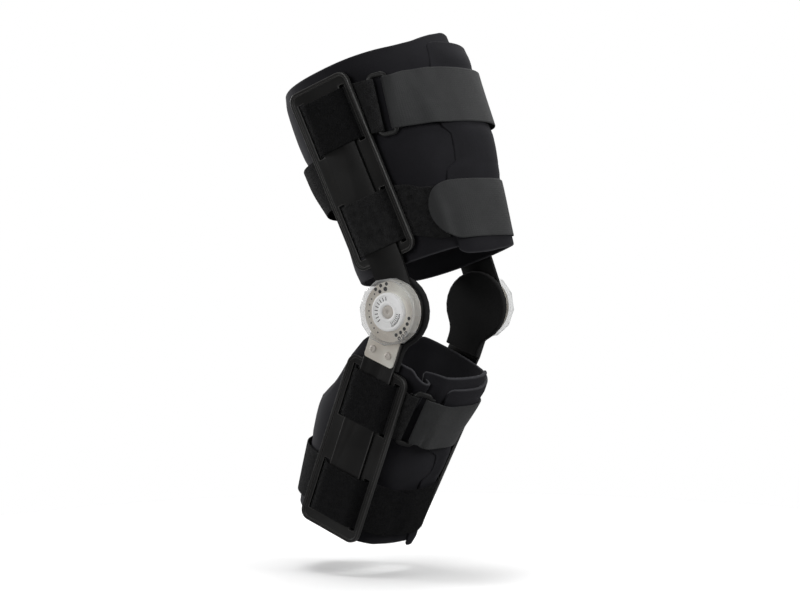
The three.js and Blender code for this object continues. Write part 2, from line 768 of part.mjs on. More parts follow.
// Straps of the calf
const calfRing = ringFrame(calfCuff, calfUpper);
const calfUpperAnchor = strapGeometry(
  [...overBar(calfCuff, -1, calfUpper.level), ...roundRing(calfRing, -1)],
  calfUpper.width,
);
const calfUpperStrap = strapGeometry(
  [
    ...roundRing(calfRing, 1),
    ...onCloth(calfCuff, calfUpper, range(-24, 42, 6), { extra: 0.3 }),
    ...overBar(calfCuff, 1, calfUpper.level),
  ],
  calfUpper.width,
);
const calfLowerStrap = strapGeometry(
  [
    ...overBar(calfCuff, -1, calfLower.level),
    ...onCloth(calfCuff, calfLower, range(-27, 42, 69 / 11), { extra: 0.3 }),
    ...overBar(calfCuff, 1, calfLower.level),
  ],
  calfLower.width,
);
const calfBackStrap = strapGeometry(roundBack(calfCuff, calfBack, 105, 255), calfBack.width);

function mesh(name, geometry, material) {
  const part = new THREE.Mesh(geometry, material);
  part.name = name;
  return part;
}

// A pair of rigid pieces. make gives a piece as it stands on the lateral side, and the medial one is
// mirrored.
function pair(group, name, material, make) {
  const mirror = new THREE.Group();
  mirror.scale.y = -1;
  mirror.add(mesh(name + "_medial", make("medial"), material));
  group.add(mesh(name + "_lateral", make("lateral"), material), mirror);
}

const thigh = new THREE.Group();
thigh.rotation.y = radians(-thighTilt);
thigh.add(
  mesh("thigh_wrap", wrapGeometry(thighCuff, 44), materials.foam),
  mesh("thigh_upper_anchor", thighUpperAnchor, materials.pile),
  mesh("thigh_upper_ring", ringGeometry(thighCuff, thighUpper), materials.ring),
  mesh("thigh_upper_strap", thighUpperStrap, materials.webbing),
  mesh("thigh_lower_anchor", thighLowerAnchor, materials.pile),
  mesh("thigh_lower_strap", thighLowerStrap, materials.webbing),
  mesh("thigh_back_strap", thighBackStrap, materials.pile),
);
pair(thigh, "thigh_plate", materials.plate, (side) => plateGeometry(thighCuff, side));
pair(thigh, "thigh_bar", materials.bar, (side) => barGeometry(thighCuff, side));

const calf = new THREE.Group();
calf.rotation.y = radians(calfTilt);
calf.add(
  mesh("calf_wrap", wrapGeometry(calfCuff, 48), materials.foam),
  mesh("calf_upper_anchor", calfUpperAnchor, materials.pile),
  mesh("calf_upper_ring", ringGeometry(calfCuff, calfUpper), materials.ring),
  mesh("calf_upper_strap", calfUpperStrap, materials.webbing),
  mesh("calf_lower_strap", calfLowerStrap, materials.pile),
  mesh("calf_back_strap", calfBackStrap, materials.pile),
);
pair(calf, "calf_plate", materials.plate, (side) => plateGeometry(calfCuff, side));
pair(calf, "calf_bar", materials.bar, (side) => barGeometry(calfCuff, side));
pair(calf, "hinge_pad", materials.pad, hingePadGeometry);
pair(calf, "hinge_plate", materials.steel, hingePlateGeometry);
pair(calf, "dial_cover", materials.clear, dialCoverGeometry);
pair(calf, "dial_hub", materials.frosted, dialHubGeometry);
pair(calf, "pivot", materials.rivet, pivotGeometry);
pair(calf, "tab_screw_rear", materials.rivet, () => screwGeometry(screwPlaces[0]));
pair(calf, "tab_screw_front", materials.rivet, () => screwGeometry(screwPlaces[1]));
pair(calf, "extension_pin", materials.pin, () => pinGeometry(pinPlaces[0]));
pair(calf, "flexion_pin", materials.pin, () => pinGeometry(pinPlaces[1]));

const brace = new THREE.Group();
brace.name = "hinged_knee_brace";
brace.add(thigh, calf);

export default brace;
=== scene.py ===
# Hinged knee brace, dressed and lit. Sizes in the dictionaries are millimetres and degrees.
import bisect
import math

import bmesh
import bpy
from mathutils import Matrix, Vector, noise


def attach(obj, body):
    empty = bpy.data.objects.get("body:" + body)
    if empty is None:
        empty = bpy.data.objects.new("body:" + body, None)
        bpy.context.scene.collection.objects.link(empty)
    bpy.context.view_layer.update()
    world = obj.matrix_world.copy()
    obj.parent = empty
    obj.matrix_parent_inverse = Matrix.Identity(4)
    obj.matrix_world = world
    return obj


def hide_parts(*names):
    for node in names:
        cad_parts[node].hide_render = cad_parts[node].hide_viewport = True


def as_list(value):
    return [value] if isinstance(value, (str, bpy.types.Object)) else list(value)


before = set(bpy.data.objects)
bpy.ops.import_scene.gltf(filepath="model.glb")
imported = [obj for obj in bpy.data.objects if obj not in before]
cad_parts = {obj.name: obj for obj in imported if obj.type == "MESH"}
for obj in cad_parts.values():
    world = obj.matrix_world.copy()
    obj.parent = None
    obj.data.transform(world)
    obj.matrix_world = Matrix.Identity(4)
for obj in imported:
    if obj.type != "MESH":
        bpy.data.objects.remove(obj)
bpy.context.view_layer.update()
mm = 0.001
print("frame: loaded", len(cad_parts), "nodes")


# small maths

def mix(a, b, t):
    return a + (b - a) * t


def smoothStep(x, a, b):
    t = min(max((x - a) / (b - a), 0.0), 1.0)
    return t * t * (3 - 2 * t)


def signedPower(value, power):
    return math.copysign(abs(value) ** power, value)


def curveThrough(rows, column=1):  # cubic through a short table, never past its values
    points = sorted((row[0], row[column]) for row in rows)
    xs = [p[0] for p in points]
    ys = [p[1] for p in points]
    slopes = [(ys[i + 1] - ys[i]) / (xs[i + 1] - xs[i]) for i in range(len(xs) - 1)]
    tangents = [slopes[0]]
    tangents += [0.0 if a * b <= 0 else 2 * a * b / (a + b) for a, b in zip(slopes, slopes[1:])]
    tangents.append(slopes[-1])

    def at(x):
        if x <= xs[0]:
            return ys[0]
        if x >= xs[-1]:
            return ys[-1]
        i = bisect.bisect_right(xs, x) - 1
        h = xs[i + 1] - xs[i]
        t = (x - xs[i]) / h
        return (
            ys[i] * (1 + 2 * t) * (1 - t) ** 2
            + h * tangents[i] * t * (1 - t) ** 2
            + ys[i + 1] * t * t * (3 - 2 * t)
            + h * tangents[i + 1] * t * t * (t - 1)
        )

    return at


def spread(length, step, fine):  # places along a length, close together at both ends
    inner = max(2, round((length - 2 * fine[-1]) / step))
    middle = [mix(fine[-1], length - fine[-1], i / inner) for i in range(1, inner)]
    return list(fine) + middle + [length - f for f in reversed(fine)]


def evenly(first, last, count):
    return [mix(first, last, i / count) for i in range(count + 1)]


def polar(radius, degrees):
    a = math.radians(degrees)
    return radius * math.cos(a), radius * math.sin(a)


# objects and node trees

def sceneObject(name, data):
    obj = bpy.data.objects.new(name, data)
    bpy.context.scene.collection.objects.link(obj)
    return obj


class Shade:  # a small hand for building node trees
    def __init__(self, tree):
        self.tree = tree

    def put(self, node, values):  # links a socket, and sets anything else as the input's own value
        for key, value in values.items():
            if isinstance(value, bpy.types.NodeSocket):
                self.tree.links.new(value, node.inputs[key])
            else:
                node.inputs[key].default_value = value
        return node

    def node(self, kind, values=None, **settings):
        made = self.tree.nodes.new(kind)
        for key, value in settings.items():
            setattr(made, key, value)
        return self.put(made, values or {})

    def maths(self, operation, *values):
        return self.node("ShaderNodeMath", dict(enumerate(values)), operation=operation).outputs[0]

    def ramp(self, value, low, high):
        return self.node("ShaderNodeMapRange", {"Value": value, "From Min": low, "From Max": high}).outputs[0]

    def blend(self, part, a, b):
        return self.node("ShaderNodeMix", {0: part, 6: a, 7: b}, data_type="RGBA").outputs[2]

    def group(self, tree, **values):
        return self.node("ShaderNodeGroup", values, node_tree=tree).outputs

    def where(self):
        return self.node("ShaderNodeTexCoord").outputs["Object"]

    def seen(self):
        return self.node("ShaderNodeLightPath").outputs["Is Camera Ray"]

    def attribute(self, name):
        return self.node("ShaderNodeAttribute", attribute_name=name).outputs["Fac"]

    def bump(self, strength, depth, height):
        return self.node("ShaderNodeBump", {"Strength": strength, "Distance": depth, "Height": height}).outputs[0]

    def join(self, *parts):
        made = self.node("GeometryNodeJoinGeometry")
        for part in parts:
            self.tree.links.new(part, made.inputs[0])
        return made.outputs[0]


def newGroup(name, inputs, outputs, kind="ShaderNodeTree"):
    tree = bpy.data.node_groups.new(name, kind)
    for label, sort, value in inputs:
        socket = tree.interface.new_socket(label, in_out="INPUT", socket_type="NodeSocket" + sort)
        if value is not None:
            socket.default_value = value
    for label, sort in outputs:
        tree.interface.new_socket(label, in_out="OUTPUT", socket_type="NodeSocket" + sort)
    return Shade(tree), tree.nodes.new("NodeGroupInput").outputs, tree.nodes.new("NodeGroupOutput")


# camera, light and floor

studio = {
    "azimuth": 35.0,
    "elevation": 2.4,
    "distance": 2500.0,
    "sensor": 36.0,
    "clip": (0.05, 40.0),  # metres
    "perPixel": 0.95,
    "image": (800, 597),
    "kneePixel": (438.4, 308.7),
    "floor": -252.5,
    "floorRadius": 650.0,
    "floorStep": 4,
    "floorColour": (0.86, 0.86, 0.86),
    "floorBounce": (0.22, 0.22, 0.22),
    "floorRoughness": 0.9,
    "floorGlow": 0.06,
    "world": 0.085,
    "lights": [  # name, right, towards the camera, up, size, watts
        ("keyLight", 1500, 560, 780, 900, 15.0),
        ("leftLight", -1450, -500, 400, 450, 7.5),
        ("topLight", 0, 0, 1600, 1100, 8.0),
        ("frontLight", -1000, 1450, 400, 900, 9.0),
        ("backLight", 500, -1300, 900, 900, 7.0),
        ("rimLight", -1100, -1150, 300, 700, 9.0),
    ],
    "floorLights": [  # these light the floor alone
        ("floorLight", -40, -60, 1500, 1150, 18.5),
    ],
}


def setStudio(setup):
    scene = bpy.context.scene
    a, e = math.radians(setup["azimuth"]), math.radians(setup["elevation"])
    back = Vector((math.sin(a) * math.cos(e), -math.cos(a) * math.cos(e), math.sin(e)))
    right = Vector((math.cos(a), math.sin(a), 0))
    up = back.cross(right)
    (width, height), (kneeX, kneeY), pixel = setup["image"], setup["kneePixel"], setup["perPixel"]
    aim = right * ((width / 2 - kneeX) * pixel) + up * ((kneeY - height / 2) * pixel)
    lens = bpy.data.cameras.new("photoCamera")
    lens.sensor_width = setup["sensor"]
    lens.lens = setup["sensor"] * setup["distance"] / (width * pixel)
    lens.clip_start, lens.clip_end = setup["clip"]
    scene.camera = sceneObject("photoCamera", lens)
    turn = Matrix((right, up, back)).transposed().to_4x4()
    scene.camera.matrix_world = Matrix.Translation((aim + back * setup["distance"]) * mm) @ turn
    flatBack = Vector((back.x, back.y, 0)).normalized()
    for name, r, b, u, size, watts in setup["lights"] + setup["floorLights"]:
        lamp = bpy.data.lights.new(name, "AREA")
        lamp.shape, lamp.size, lamp.energy = "DISK", size * mm, watts
        obj = sceneObject(name, lamp)
        place = (right * r + flatBack * b + Vector((0, 0, u))) * mm
        obj.location = place
        obj.rotation_euler = (-place).to_track_quat("-Z", "Y").to_euler()
    world = bpy.data.worlds.new("studioWorld")
    world.use_nodes = True
    s = Shade(world.node_tree)  # seen white, while it lights the object softly
    strength = s.node("ShaderNodeMapRange", {"Value": s.seen(), "To Min": setup["world"], "To Max": 1.0})
    s.put(s.tree.nodes["Background"], {"Color": (1, 1, 1, 1), "Strength": strength.outputs[0]})
    scene.world = world
    scene.view_settings.view_transform = "Standard"


def makeFloor(setup):
    ring = [polar(setup["floorRadius"], a) for a in range(0, 360, setup["floorStep"])]
    mesh = bpy.data.meshes.new("paleFloor")
    mesh.from_pydata([(x * mm, y * mm, setup["floor"] * mm) for x, y in ring], [], [list(range(len(ring)))])
    floor = sceneObject("paleFloor", mesh)
    paint = bpy.data.materials.new("paleFloorPaint")
    paint.use_nodes = True
    s = Shade(paint.node_tree)
    seen = s.seen()
    s.put(s.tree.nodes["Principled BSDF"], {
        "Roughness": setup["floorRoughness"],
        "Emission Color": (1, 1, 1, 1),
        "Emission Strength": s.maths("MULTIPLY", seen, setup["floorGlow"]),
        # seen pale, while it throws little light back up
        "Base Color": s.blend(seen, (*setup["floorBounce"], 1), (*setup["floorColour"], 1)),
    })
    mesh.materials.append(paint)
    only = bpy.data.collections.new("floorOnly")
    only.objects.link(floor)
    for name, *_ in setup["floorLights"]:
        bpy.data.objects[name].light_linking.receiver_collection = only


setStudio(studio)
makeFloor(studio)
print("studio: camera, lights and floor")


# materials

def plainWeaveGroup():  # threads over and under, laid along the piece's own UV map, which is in metres
    s, inside, out = newGroup(
        "plainWeave",
        [("Vector", "Vector", None), ("Along", "Float", 1.2), ("Across", "Float", 0.9)],
        [("Height", "Float"), ("Gap", "Float")],
    )
    place = s.node("ShaderNodeSeparateXYZ", {0: inside["Vector"]}).outputs
    halfTurn = math.pi / mm  # for each mm, divided by the thread's width
    a = s.maths("MULTIPLY", place[0], s.maths("DIVIDE", halfTurn, inside["Along"]))
    b = s.maths("MULTIPLY", place[1], s.maths("DIVIDE", halfTurn, inside["Across"]))
    waveA, waveB = [s.maths("ABSOLUTE", s.maths("SINE", turn)) for turn in (a, b)]
    liftA, liftB = [s.maths("MULTIPLY_ADD", s.maths("COSINE", turn), 0.5, 0.5) for turn in (a, b)]
    height = s.maths("MAXIMUM", s.maths("MULTIPLY", waveA, liftB), s.maths("MULTIPLY", waveB, liftA))
    gap = s.maths("SUBTRACT", 1.0, s.ramp(s.maths("MAXIMUM", waveA, waveB), 0.1, 0.7))
    s.put(out, {"Height": height, "Gap": gap})
    return s.tree


def speckleGroup():  # two sizes of noise: broad cloudiness and fine grain
    s, inside, out = newGroup(
        "speckle",
        [("Vector", "Vector", None), ("Broad", "Float", 40.0), ("Fine", "Float", 900.0)],
        [("Cloud", "Float"), ("Grain", "Float")],
    )
    for scale, detail, result in (("Broad", 3.0, "Cloud"), ("Fine", 2.0, "Grain")):
        cloud = {"Vector": inside["Vector"], "Scale": inside[scale], "Detail": detail}
        s.put(out, {result: s.ramp(s.node("ShaderNodeTexNoise", cloud).outputs[0], 0.3, 0.7)})
    return s.tree


weaveGroup = plainWeaveGroup()
grainGroup = speckleGroup()


def startMaterial(name, colour, roughness, finish):
    material = bpy.data.materials.new(name)
    material.use_nodes = True
    material.diffuse_color = (*colour, 1)
    s = Shade(material.node_tree)
    shader = s.tree.nodes["Principled BSDF"]
    s.put(shader, {"Base Color": (*colour, 1), "Roughness": roughness, **finish})
    return material, s, shader


def scaled(colour, factor):
    return tuple(min(1.0, c * factor) for c in colour) + (1.0,)


foamLook = {
    "name": "foamLaminate", "colour": (0.0125, 0.0122, 0.0150), "roughness": 0.88,
    "edge": (0.060, 0.060, 0.066),
    "thread": (0.93, 0.62),  # along, across
    "cloud": (28.0, 0.82, 1.2),  # scale, darkest, palest
    "gap": (0.5, 0.5),  # share, darkness
    "fuzz": (1400.0, 0.35),  # scale, height
    "bump": (0.12, 0.0004),  # strength, depth in metres
    "finish": {
        "Specular IOR Level": 0.22, "Sheen Weight": 0.06, "Sheen Roughness": 0.5,
        "Sheen Tint": (0.75, 0.75, 0.85, 1),
    },
}
webbingLook = {
    "name": "greyWebbing", "colour": (0.034, 0.035, 0.036), "roughness": 0.72,
    "thread": (1.17, 0.9),
    "cloud": (45.0, 0.86, 1.14),
    "gap": (0.55, 0.45),
    "fuzz": (1700.0, 0.25),
    "bump": (0.28, 0.0004),
    "finish": {"Specular IOR Level": 0.3, "Sheen Weight": 0.1, "Sheen Roughness": 0.45},
}


def wovenMaterial(look):
    colour = look["colour"]
    material, s, shader = startMaterial(look["name"], colour, look["roughness"], look["finish"])
    (along, across), (broad, dark, pale) = look["thread"], look["cloud"]
    (gapShare, gapDark), (fine, fuzz) = look["gap"], look["fuzz"]
    cloth = s.node("ShaderNodeUVMap", uv_map="cloth").outputs[0]
    weave = s.group(weaveGroup, Vector=cloth, Along=along, Across=across)
    grain = s.group(grainGroup, Vector=s.where(), Broad=broad, Fine=fine)
    base = s.blend(grain["Cloud"], scaled(colour, dark), scaled(colour, pale))
    base = s.blend(s.maths("MULTIPLY", weave["Gap"], gapShare), base, scaled(colour, gapDark))
    if "edge" in look:  # the cut edge shows paler foam
        base = s.blend(s.attribute("rim"), base, (*look["edge"], 1))
    height = s.maths("MULTIPLY_ADD", grain["Grain"], fuzz, weave["Height"])
    s.put(shader, {"Base Color": base, "Normal": s.bump(*look["bump"], height)})
    return material


pileLook = {
    "name": "loopPile", "colour": (0.0046, 0.0046, 0.0050), "roughness": 0.95,
    "cloud": (160.0, 0.55, 1.9),
    "grain": (1100.0, 0.5, 2.6),  # scale, share, paleness
    "tuft": (700.0, -0.8),  # scale, height
    "bump": (0.9, 0.0007),
    "finish": {"Specular IOR Level": 0.12, "Sheen Weight": 0.03, "Sheen Roughness": 0.6},
}
# a paler copy of the same pile, with painted light on the anchors and tails
paintedLitPileLook = {**pileLook, "name": "paleLoopPile", "colour": (0.0130, 0.0130, 0.0133)}


def pileMaterial(look):
    colour = look["colour"]
    material, s, shader = startMaterial(look["name"], colour, look["roughness"], look["finish"])
    (broad, dark, pale), (fine, share, tips) = look["cloud"], look["grain"]
    scale, depth = look["tuft"]
    where = s.where()
    grain = s.group(grainGroup, Vector=where, Broad=broad, Fine=fine)
    tuft = s.node("ShaderNodeTexVoronoi", {"Vector": where, "Scale": scale}).outputs["Distance"]
    base = s.blend(grain["Cloud"], scaled(colour, dark), scaled(colour, pale))
    base = s.blend(s.maths("MULTIPLY", grain["Grain"], share), base, scaled(colour, tips))
    height = s.maths("MULTIPLY_ADD", tuft, depth, grain["Grain"])
    s.put(shader, {"Base Color": base, "Normal": s.bump(*look["bump"], height)})
    return material


mouldedLooks = {  # material, colour, roughness, its unevenness, bump, paleness of the painted highlight on rounded edges, other sockets
    "plate": ("satinPlate", (0.0145, 0.0142, 0.0138), 0.36, 0.1, 0.1, 5.0, {"Specular IOR Level": 0.36}),
    "bar": ("coatedBar", (0.0065, 0.0063, 0.0062), 0.36, 0.1, 0.06, 9.0, {"Specular IOR Level": 0.34}),
    "ring": ("ringPlastic", (0.013, 0.013, 0.013), 0.42, 0.08, 0.04, 0, {"Specular IOR Level": 0.35}),
    "steel": ("nickelSteel", (0.97, 0.88, 0.775), 0.4, 0.12, 0.1, 0, {"Metallic": 0.45}),
    "frosted": (
        "frostedDialPaintedGlow", (0.90, 0.90, 0.89), 0.45, 0.1, 0.1, 0,
        # the emission is a painted glow that brightens the dial's face
        {"Emission Color": (1, 1, 1, 1), "Emission Strength": 0.12},
    ),
    "rivet": ("plainRivet", (0.66, 0.62, 0.57), 0.6, 0.12, 0.1, 0, {"Metallic": 0.3}),
    "pad": (
        "padCloth", (0.0165, 0.0165, 0.0168), 0.88, 0.1, 0.4, 0,
        {"Specular IOR Level": 0.2, "Sheen Weight": 0.04},
    ),
    "pin": ("darkPin", (0.012, 0.012, 0.012), 0.45, 0.1, 0.1, 0, {"Metallic": 0.5}),
    "ink": ("dialInk", (0.03, 0.03, 0.032), 0.6, 0.1, 0.0, 0, {}),
}
mouldedGrain = {"broad": 22.0, "fine": 1600.0, "shades": (0.85, 1.2), "depth": 0.0002}


def mouldedMaterial(name, colour, roughness, uneven, bump, rubbed, finish):  # plastic, coated metal, steel
    material, s, shader = startMaterial(name, colour, roughness, finish)
    dark, pale = mouldedGrain["shades"]
    grain = s.group(grainGroup, Vector=s.where(), Broad=mouldedGrain["broad"], Fine=mouldedGrain["fine"])
    base = s.blend(grain["Cloud"], scaled(colour, dark), scaled(colour, pale))
    # rounded edges are painted paler: a painted highlight along them
    if rubbed:
        base = s.blend(s.attribute("edge"), base, scaled(colour, rubbed))
    s.put(shader, {
        "Base Color": base,
        "Roughness": s.maths("MULTIPLY_ADD", grain["Cloud"], uneven, roughness - uneven / 2),
        "Normal": s.bump(bump, mouldedGrain["depth"], grain["Grain"]),
    })
    return material


clearLook = {
    "roughness": 0.12, "finish": {"Specular IOR Level": 0.6},
    "top": 0.05, "topColour": (0.86, 0.87, 0.87),
    "rim": 0.42, "rimColour": (0.62, 0.63, 0.63),
    "inside": 28.2, "outside": 29.6,  # where the rim begins and is full
}


def clearMaterial(look):  # see-through top; towards the moulded rim, which lies round the knee axis, it turns greyer and less clear, a painted stand-in for the steel seen bent through the clear wall
    material, s, shader = startMaterial("clearCover", look["topColour"], look["roughness"], look["finish"])
    x, _, z = s.node("ShaderNodeSeparateXYZ", {0: s.where()}).outputs
    square = s.maths("MULTIPLY_ADD", x, x, s.maths("MULTIPLY", z, z))
    rim = s.ramp(s.maths("SQRT", square), look["inside"] * mm, look["outside"] * mm)
    s.put(shader, {
        "Alpha": s.maths("MULTIPLY_ADD", rim, look["rim"] - look["top"], look["top"]),
        "Base Color": s.blend(rim, (*look["topColour"], 1), (*look["rimColour"], 1)),
    })
    return material


looks = {
    "foam": wovenMaterial(foamLook),
    "webbing": wovenMaterial(webbingLook),
    "pile": pileMaterial(pileLook),
    "palePile": pileMaterial(paintedLitPileLook),
    "clear": clearMaterial(clearLook),
}
looks.update({key: mouldedMaterial(*row) for key, row in mouldedLooks.items()})
slotOf = {"palePile": "pile", "ink": "frosted"}  # looks that belong to another look's slot
print("materials:", len(looks))


# shapes shared by the pieces

tiny = 1e-9
sides = ("lateral", "medial")
weld, sharpFrom = 1e-7, 35  # metres, degrees


def linkPiece(name, mesh, look, body, *stoodFor):
    obj = sceneObject(name, mesh)
    mesh.materials.clear()
    mesh.materials.append(looks[look])
    slotOf.get(look, look)
    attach(obj, body)
    if stoodFor:
        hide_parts(*stoodFor)
    return obj


def plainMesh(obj):  # the mesh that an object's modifiers make, without the object
    bpy.context.view_layer.update()
    made = bpy.data.meshes.new_from_object(obj.evaluated_get(bpy.context.evaluated_depsgraph_get()))
    obj.modifiers.clear()
    bpy.data.objects.remove(obj)
    return made


def faceOutwards(mesh):
    bm = bmesh.new()
    bm.from_mesh(mesh)
    bmesh.ops.remove_doubles(bm, verts=bm.verts, dist=weld)
    bmesh.ops.recalc_face_normals(bm, faces=bm.faces)
    bm.to_mesh(mesh)
    bm.free()


def shadeSmooth(mesh, sharpAngle=None):
    mesh.polygons.foreach_set("use_smooth", [True] * len(mesh.polygons))
    if sharpAngle:
        mesh.set_sharp_from_angle(angle=math.radians(sharpAngle))


def gridCross(points, i, j):  # square to a grid of points at one of them
    along = points[min(i + 1, len(points) - 1)][j] - points[max(i - 1, 0)][j]
    across = points[i][min(j + 1, len(points[i]) - 1)] - points[i][max(j - 1, 0)]
    return along.cross(across)


def sheetMesh(name, grid, inside):
    # each spot of the grid holds the sheet's middle, the distance from its border, its thickness, how much
    # of a cut edge shows and its flat place, and inside(point) is a point on the sheet's inner side
    middle = [[spot[0] for spot in line] for line in grid]
    normals, vote = [], 0.0
    for i, line in enumerate(middle):
        square = []
        for j, point in enumerate(line):
            cross = gridCross(middle, i, j)
            square.append(square[-1] if square and cross.length < tiny else cross.normalized())
            vote += square[j].dot(point - inside(point))
        normals.append(square)
    way = 1 if vote > 0 else -1
    verts, flat, cutEdge = [], [], []

    def addPoint(point, place, rim):
        verts.append(point * mm)
        flat.append([c * mm for c in place])
        cutEdge.append(rim)
        return len(verts) - 1

    outer, inner = [], []
    for line, square in zip(grid, normals):
        outer.append([])
        inner.append([])
        for (point, edge, thick, rim, place), normal in zip(line, square):
            part = 1 - min(edge / (thick / 2), 1.0)
            lift = normal * (way * thick / 2 * math.sqrt(max(0.0, 1 - part * part)))
            outer[-1].append(addPoint(point + lift, place, rim))
            onBorder = edge < 1e-6  # both faces share the points of the border
            inner[-1].append(outer[-1][-1] if onBorder else addPoint(point - lift, place, rim))
    faces = []
    for i in range(len(grid) - 1):
        for j in range(len(grid[0]) - 1):
            for face, turn in ((outer, way), (inner, -way)):
                quad = [face[i][j], face[i + 1][j], face[i + 1][j + 1], face[i][j + 1]]
                faces.append(quad if turn > 0 else quad[::-1])
    mesh = bpy.data.meshes.new(name)
    mesh.from_pydata(verts, [], faces)
    layer = mesh.uv_layers.new(name="cloth")
    for loop in mesh.loops:
        layer.data[loop.index].uv = flat[loop.vertex_index]
    mesh.attributes.new("rim", "FLOAT", "POINT").data.foreach_set("value", cutEdge)
    shadeSmooth(mesh)
    mesh.update()
    return mesh


rounded = {  # width of the rounding, its steps, the angle it starts at
    "plate": (0.6, 3, 28), "bar": (0.75, 3, 28), "cover": (0.3, 2, 25), "pad": (0.8, 3, 25), "pin": (0.2, 2, 40),
    "flat": 1.0, "sharp": 40,  # angles under which faces join, and past which shading breaks
}


def solidCopy(node, kind):  # a CAD node's mesh, welded, with its edges rounded
    width, steps, angle = rounded[kind]
    bm = bmesh.new()
    bm.from_mesh(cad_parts[node].data)
    bmesh.ops.remove_doubles(bm, verts=bm.verts, dist=1e-6)
    bmesh.ops.dissolve_limit(bm, angle_limit=math.radians(rounded["flat"]), verts=bm.verts, edges=bm.edges)
    mesh = bpy.data.meshes.new(node + "Shape")
    bm.to_mesh(mesh)
    bm.free()
    mesh.materials.clear()
    for _ in range(2):  # the rounding goes to the second slot, which tells its faces apart
        mesh.materials.append(None)
    obj = sceneObject(node + "Shape", mesh)
    rounding = obj.modifiers.new("rounding", "BEVEL")
    rounding.width, rounding.segments, rounding.material = width * mm, steps, 1
    rounding.limit_method, rounding.angle_limit = "ANGLE", math.radians(angle)
    rounding.harden_normals = False
    made = plainMesh(obj)
    # marks the rounded faces, which plates and bars paint with a highlight
    edge = made.attributes.new("edge", "FLOAT", "FACE")
    edge.data.foreach_set("value", [float(face.material_index) for face in made.polygons])
    made.polygons.foreach_set("material_index", [0] * len(made.polygons))
    shadeSmooth(made, rounded["sharp"])
    return made


def turnedMesh(name, rows, steps, place):  # rows are (radius, height) up the outside, closed on the axis
    verts, faces, rings = [], [], []
    for radius, height in rows:
        count = steps if radius > tiny else 1
        rings.append(list(range(len(verts), len(verts) + count)))
        verts += [place(*polar(radius, 360 * k / steps), height) * mm for k in range(count)]
    for a, b in zip(rings, rings[1:]):
        for k in range(steps):
            n = (k + 1) % steps
            if len(a) == 1:
                faces.append([a[0], b[n], b[k]])
            elif len(b) == 1:
                faces.append([a[k], a[n], b[0]])
            else:
                faces.append([a[k], a[n], b[n], b[k]])
    mesh = bpy.data.meshes.new(name)
    mesh.from_pydata(verts, [], faces)
    faceOutwards(mesh)
    shadeSmooth(mesh, sharpFrom)
    return mesh


# node trees that repeat a shape

geometryIn, materialIn = ("Geometry", "Geometry", None), ("Material", "Material", None)


def newGeometry(name, *inputs):
    return newGroup(name, [geometryIn, *inputs, materialIn], [("Geometry", "Geometry")], "GeometryNodeTree")


def endTree(s, inside, out, geometry):  # plain and dressed
    real = s.node("GeometryNodeRealizeInstances", {"Geometry": geometry})
    dressed = s.node("GeometryNodeSetMaterial", {"Geometry": real.outputs[0], "Material": inside["Material"]})
    s.put(out, {0: dressed.outputs[0]})
    return s.tree


def named(s, name, kind):
    return s.node("GeometryNodeInputNamedAttribute", {"Name": name}, data_type=kind).outputs["Attribute"]


def scatterGroup(name, kind, values):  # one shape on every point of a mesh, turned by "aim" and sized by "size"
    s, inside, out = newGeometry(name)
    placed = s.node("GeometryNodeInstanceOnPoints", {
        "Points": inside["Geometry"],
        "Instance": s.node(kind, values).outputs["Mesh"],
        "Rotation": named(s, "aim", "QUATERNION"),
        "Scale": named(s, "size", "FLOAT_VECTOR"),
    })
    return endTree(s, inside, out, placed.outputs[0])


def fibreGroup():  # short leaning fibres all over a mesh
    s, inside, out = newGeometry(
        "pileFibres", ("Density", "Float", 1.0e6), ("Length", "Float", 0.001), ("Thick", "Float", 0.0001),
        ("Lean", "Float", 0.7), ("Shortest", "Float", 0.5), ("Longest", "Float", 1.2), ("Seed", "Int", 7),
    )
    points = s.node(
        "GeometryNodeDistributePointsOnFaces",
        {"Mesh": inside["Geometry"], "Density": inside["Density"], "Seed": inside["Seed"]},
        distribute_method="RANDOM",
    ).outputs
    most = s.node("ShaderNodeCombineXYZ", {0: inside["Lean"], 1: inside["Lean"], 2: math.pi}).outputs[0]
    least = s.node("ShaderNodeVectorMath", {0: most, 3: -1.0}, operation="SCALE").outputs[0]
    turn = s.node("FunctionNodeRandomValue", {0: least, 1: most, "Seed": 3}, data_type="FLOAT_VECTOR")
    lean = s.node("FunctionNodeEulerToRotation", {0: turn.outputs[0]})
    aim = s.node(
        "FunctionNodeRotateRotation", {0: points["Rotation"], 1: lean.outputs[0]}, rotation_space="LOCAL",
    )
    share = {2: inside["Shortest"], 3: inside["Longest"], "Seed": 5}
    height = s.node("FunctionNodeRandomValue", share, data_type="FLOAT").outputs[1]
    fibre = s.node(
        "GeometryNodeMeshCone",
        {"Vertices": 3, "Radius Top": 0.0, "Radius Bottom": inside["Thick"], "Depth": inside["Length"]},
        fill_type="NGON",
    )
    placed = s.node("GeometryNodeInstanceOnPoints", {
        "Points": points["Points"],
        "Instance": fibre.outputs["Mesh"],
        "Rotation": aim.outputs[0],
        "Scale": s.node("ShaderNodeCombineXYZ", {0: 1.0, 1: 1.0, 2: height}).outputs[0],
    })
    return endTree(s, inside, out, placed.outputs[0])


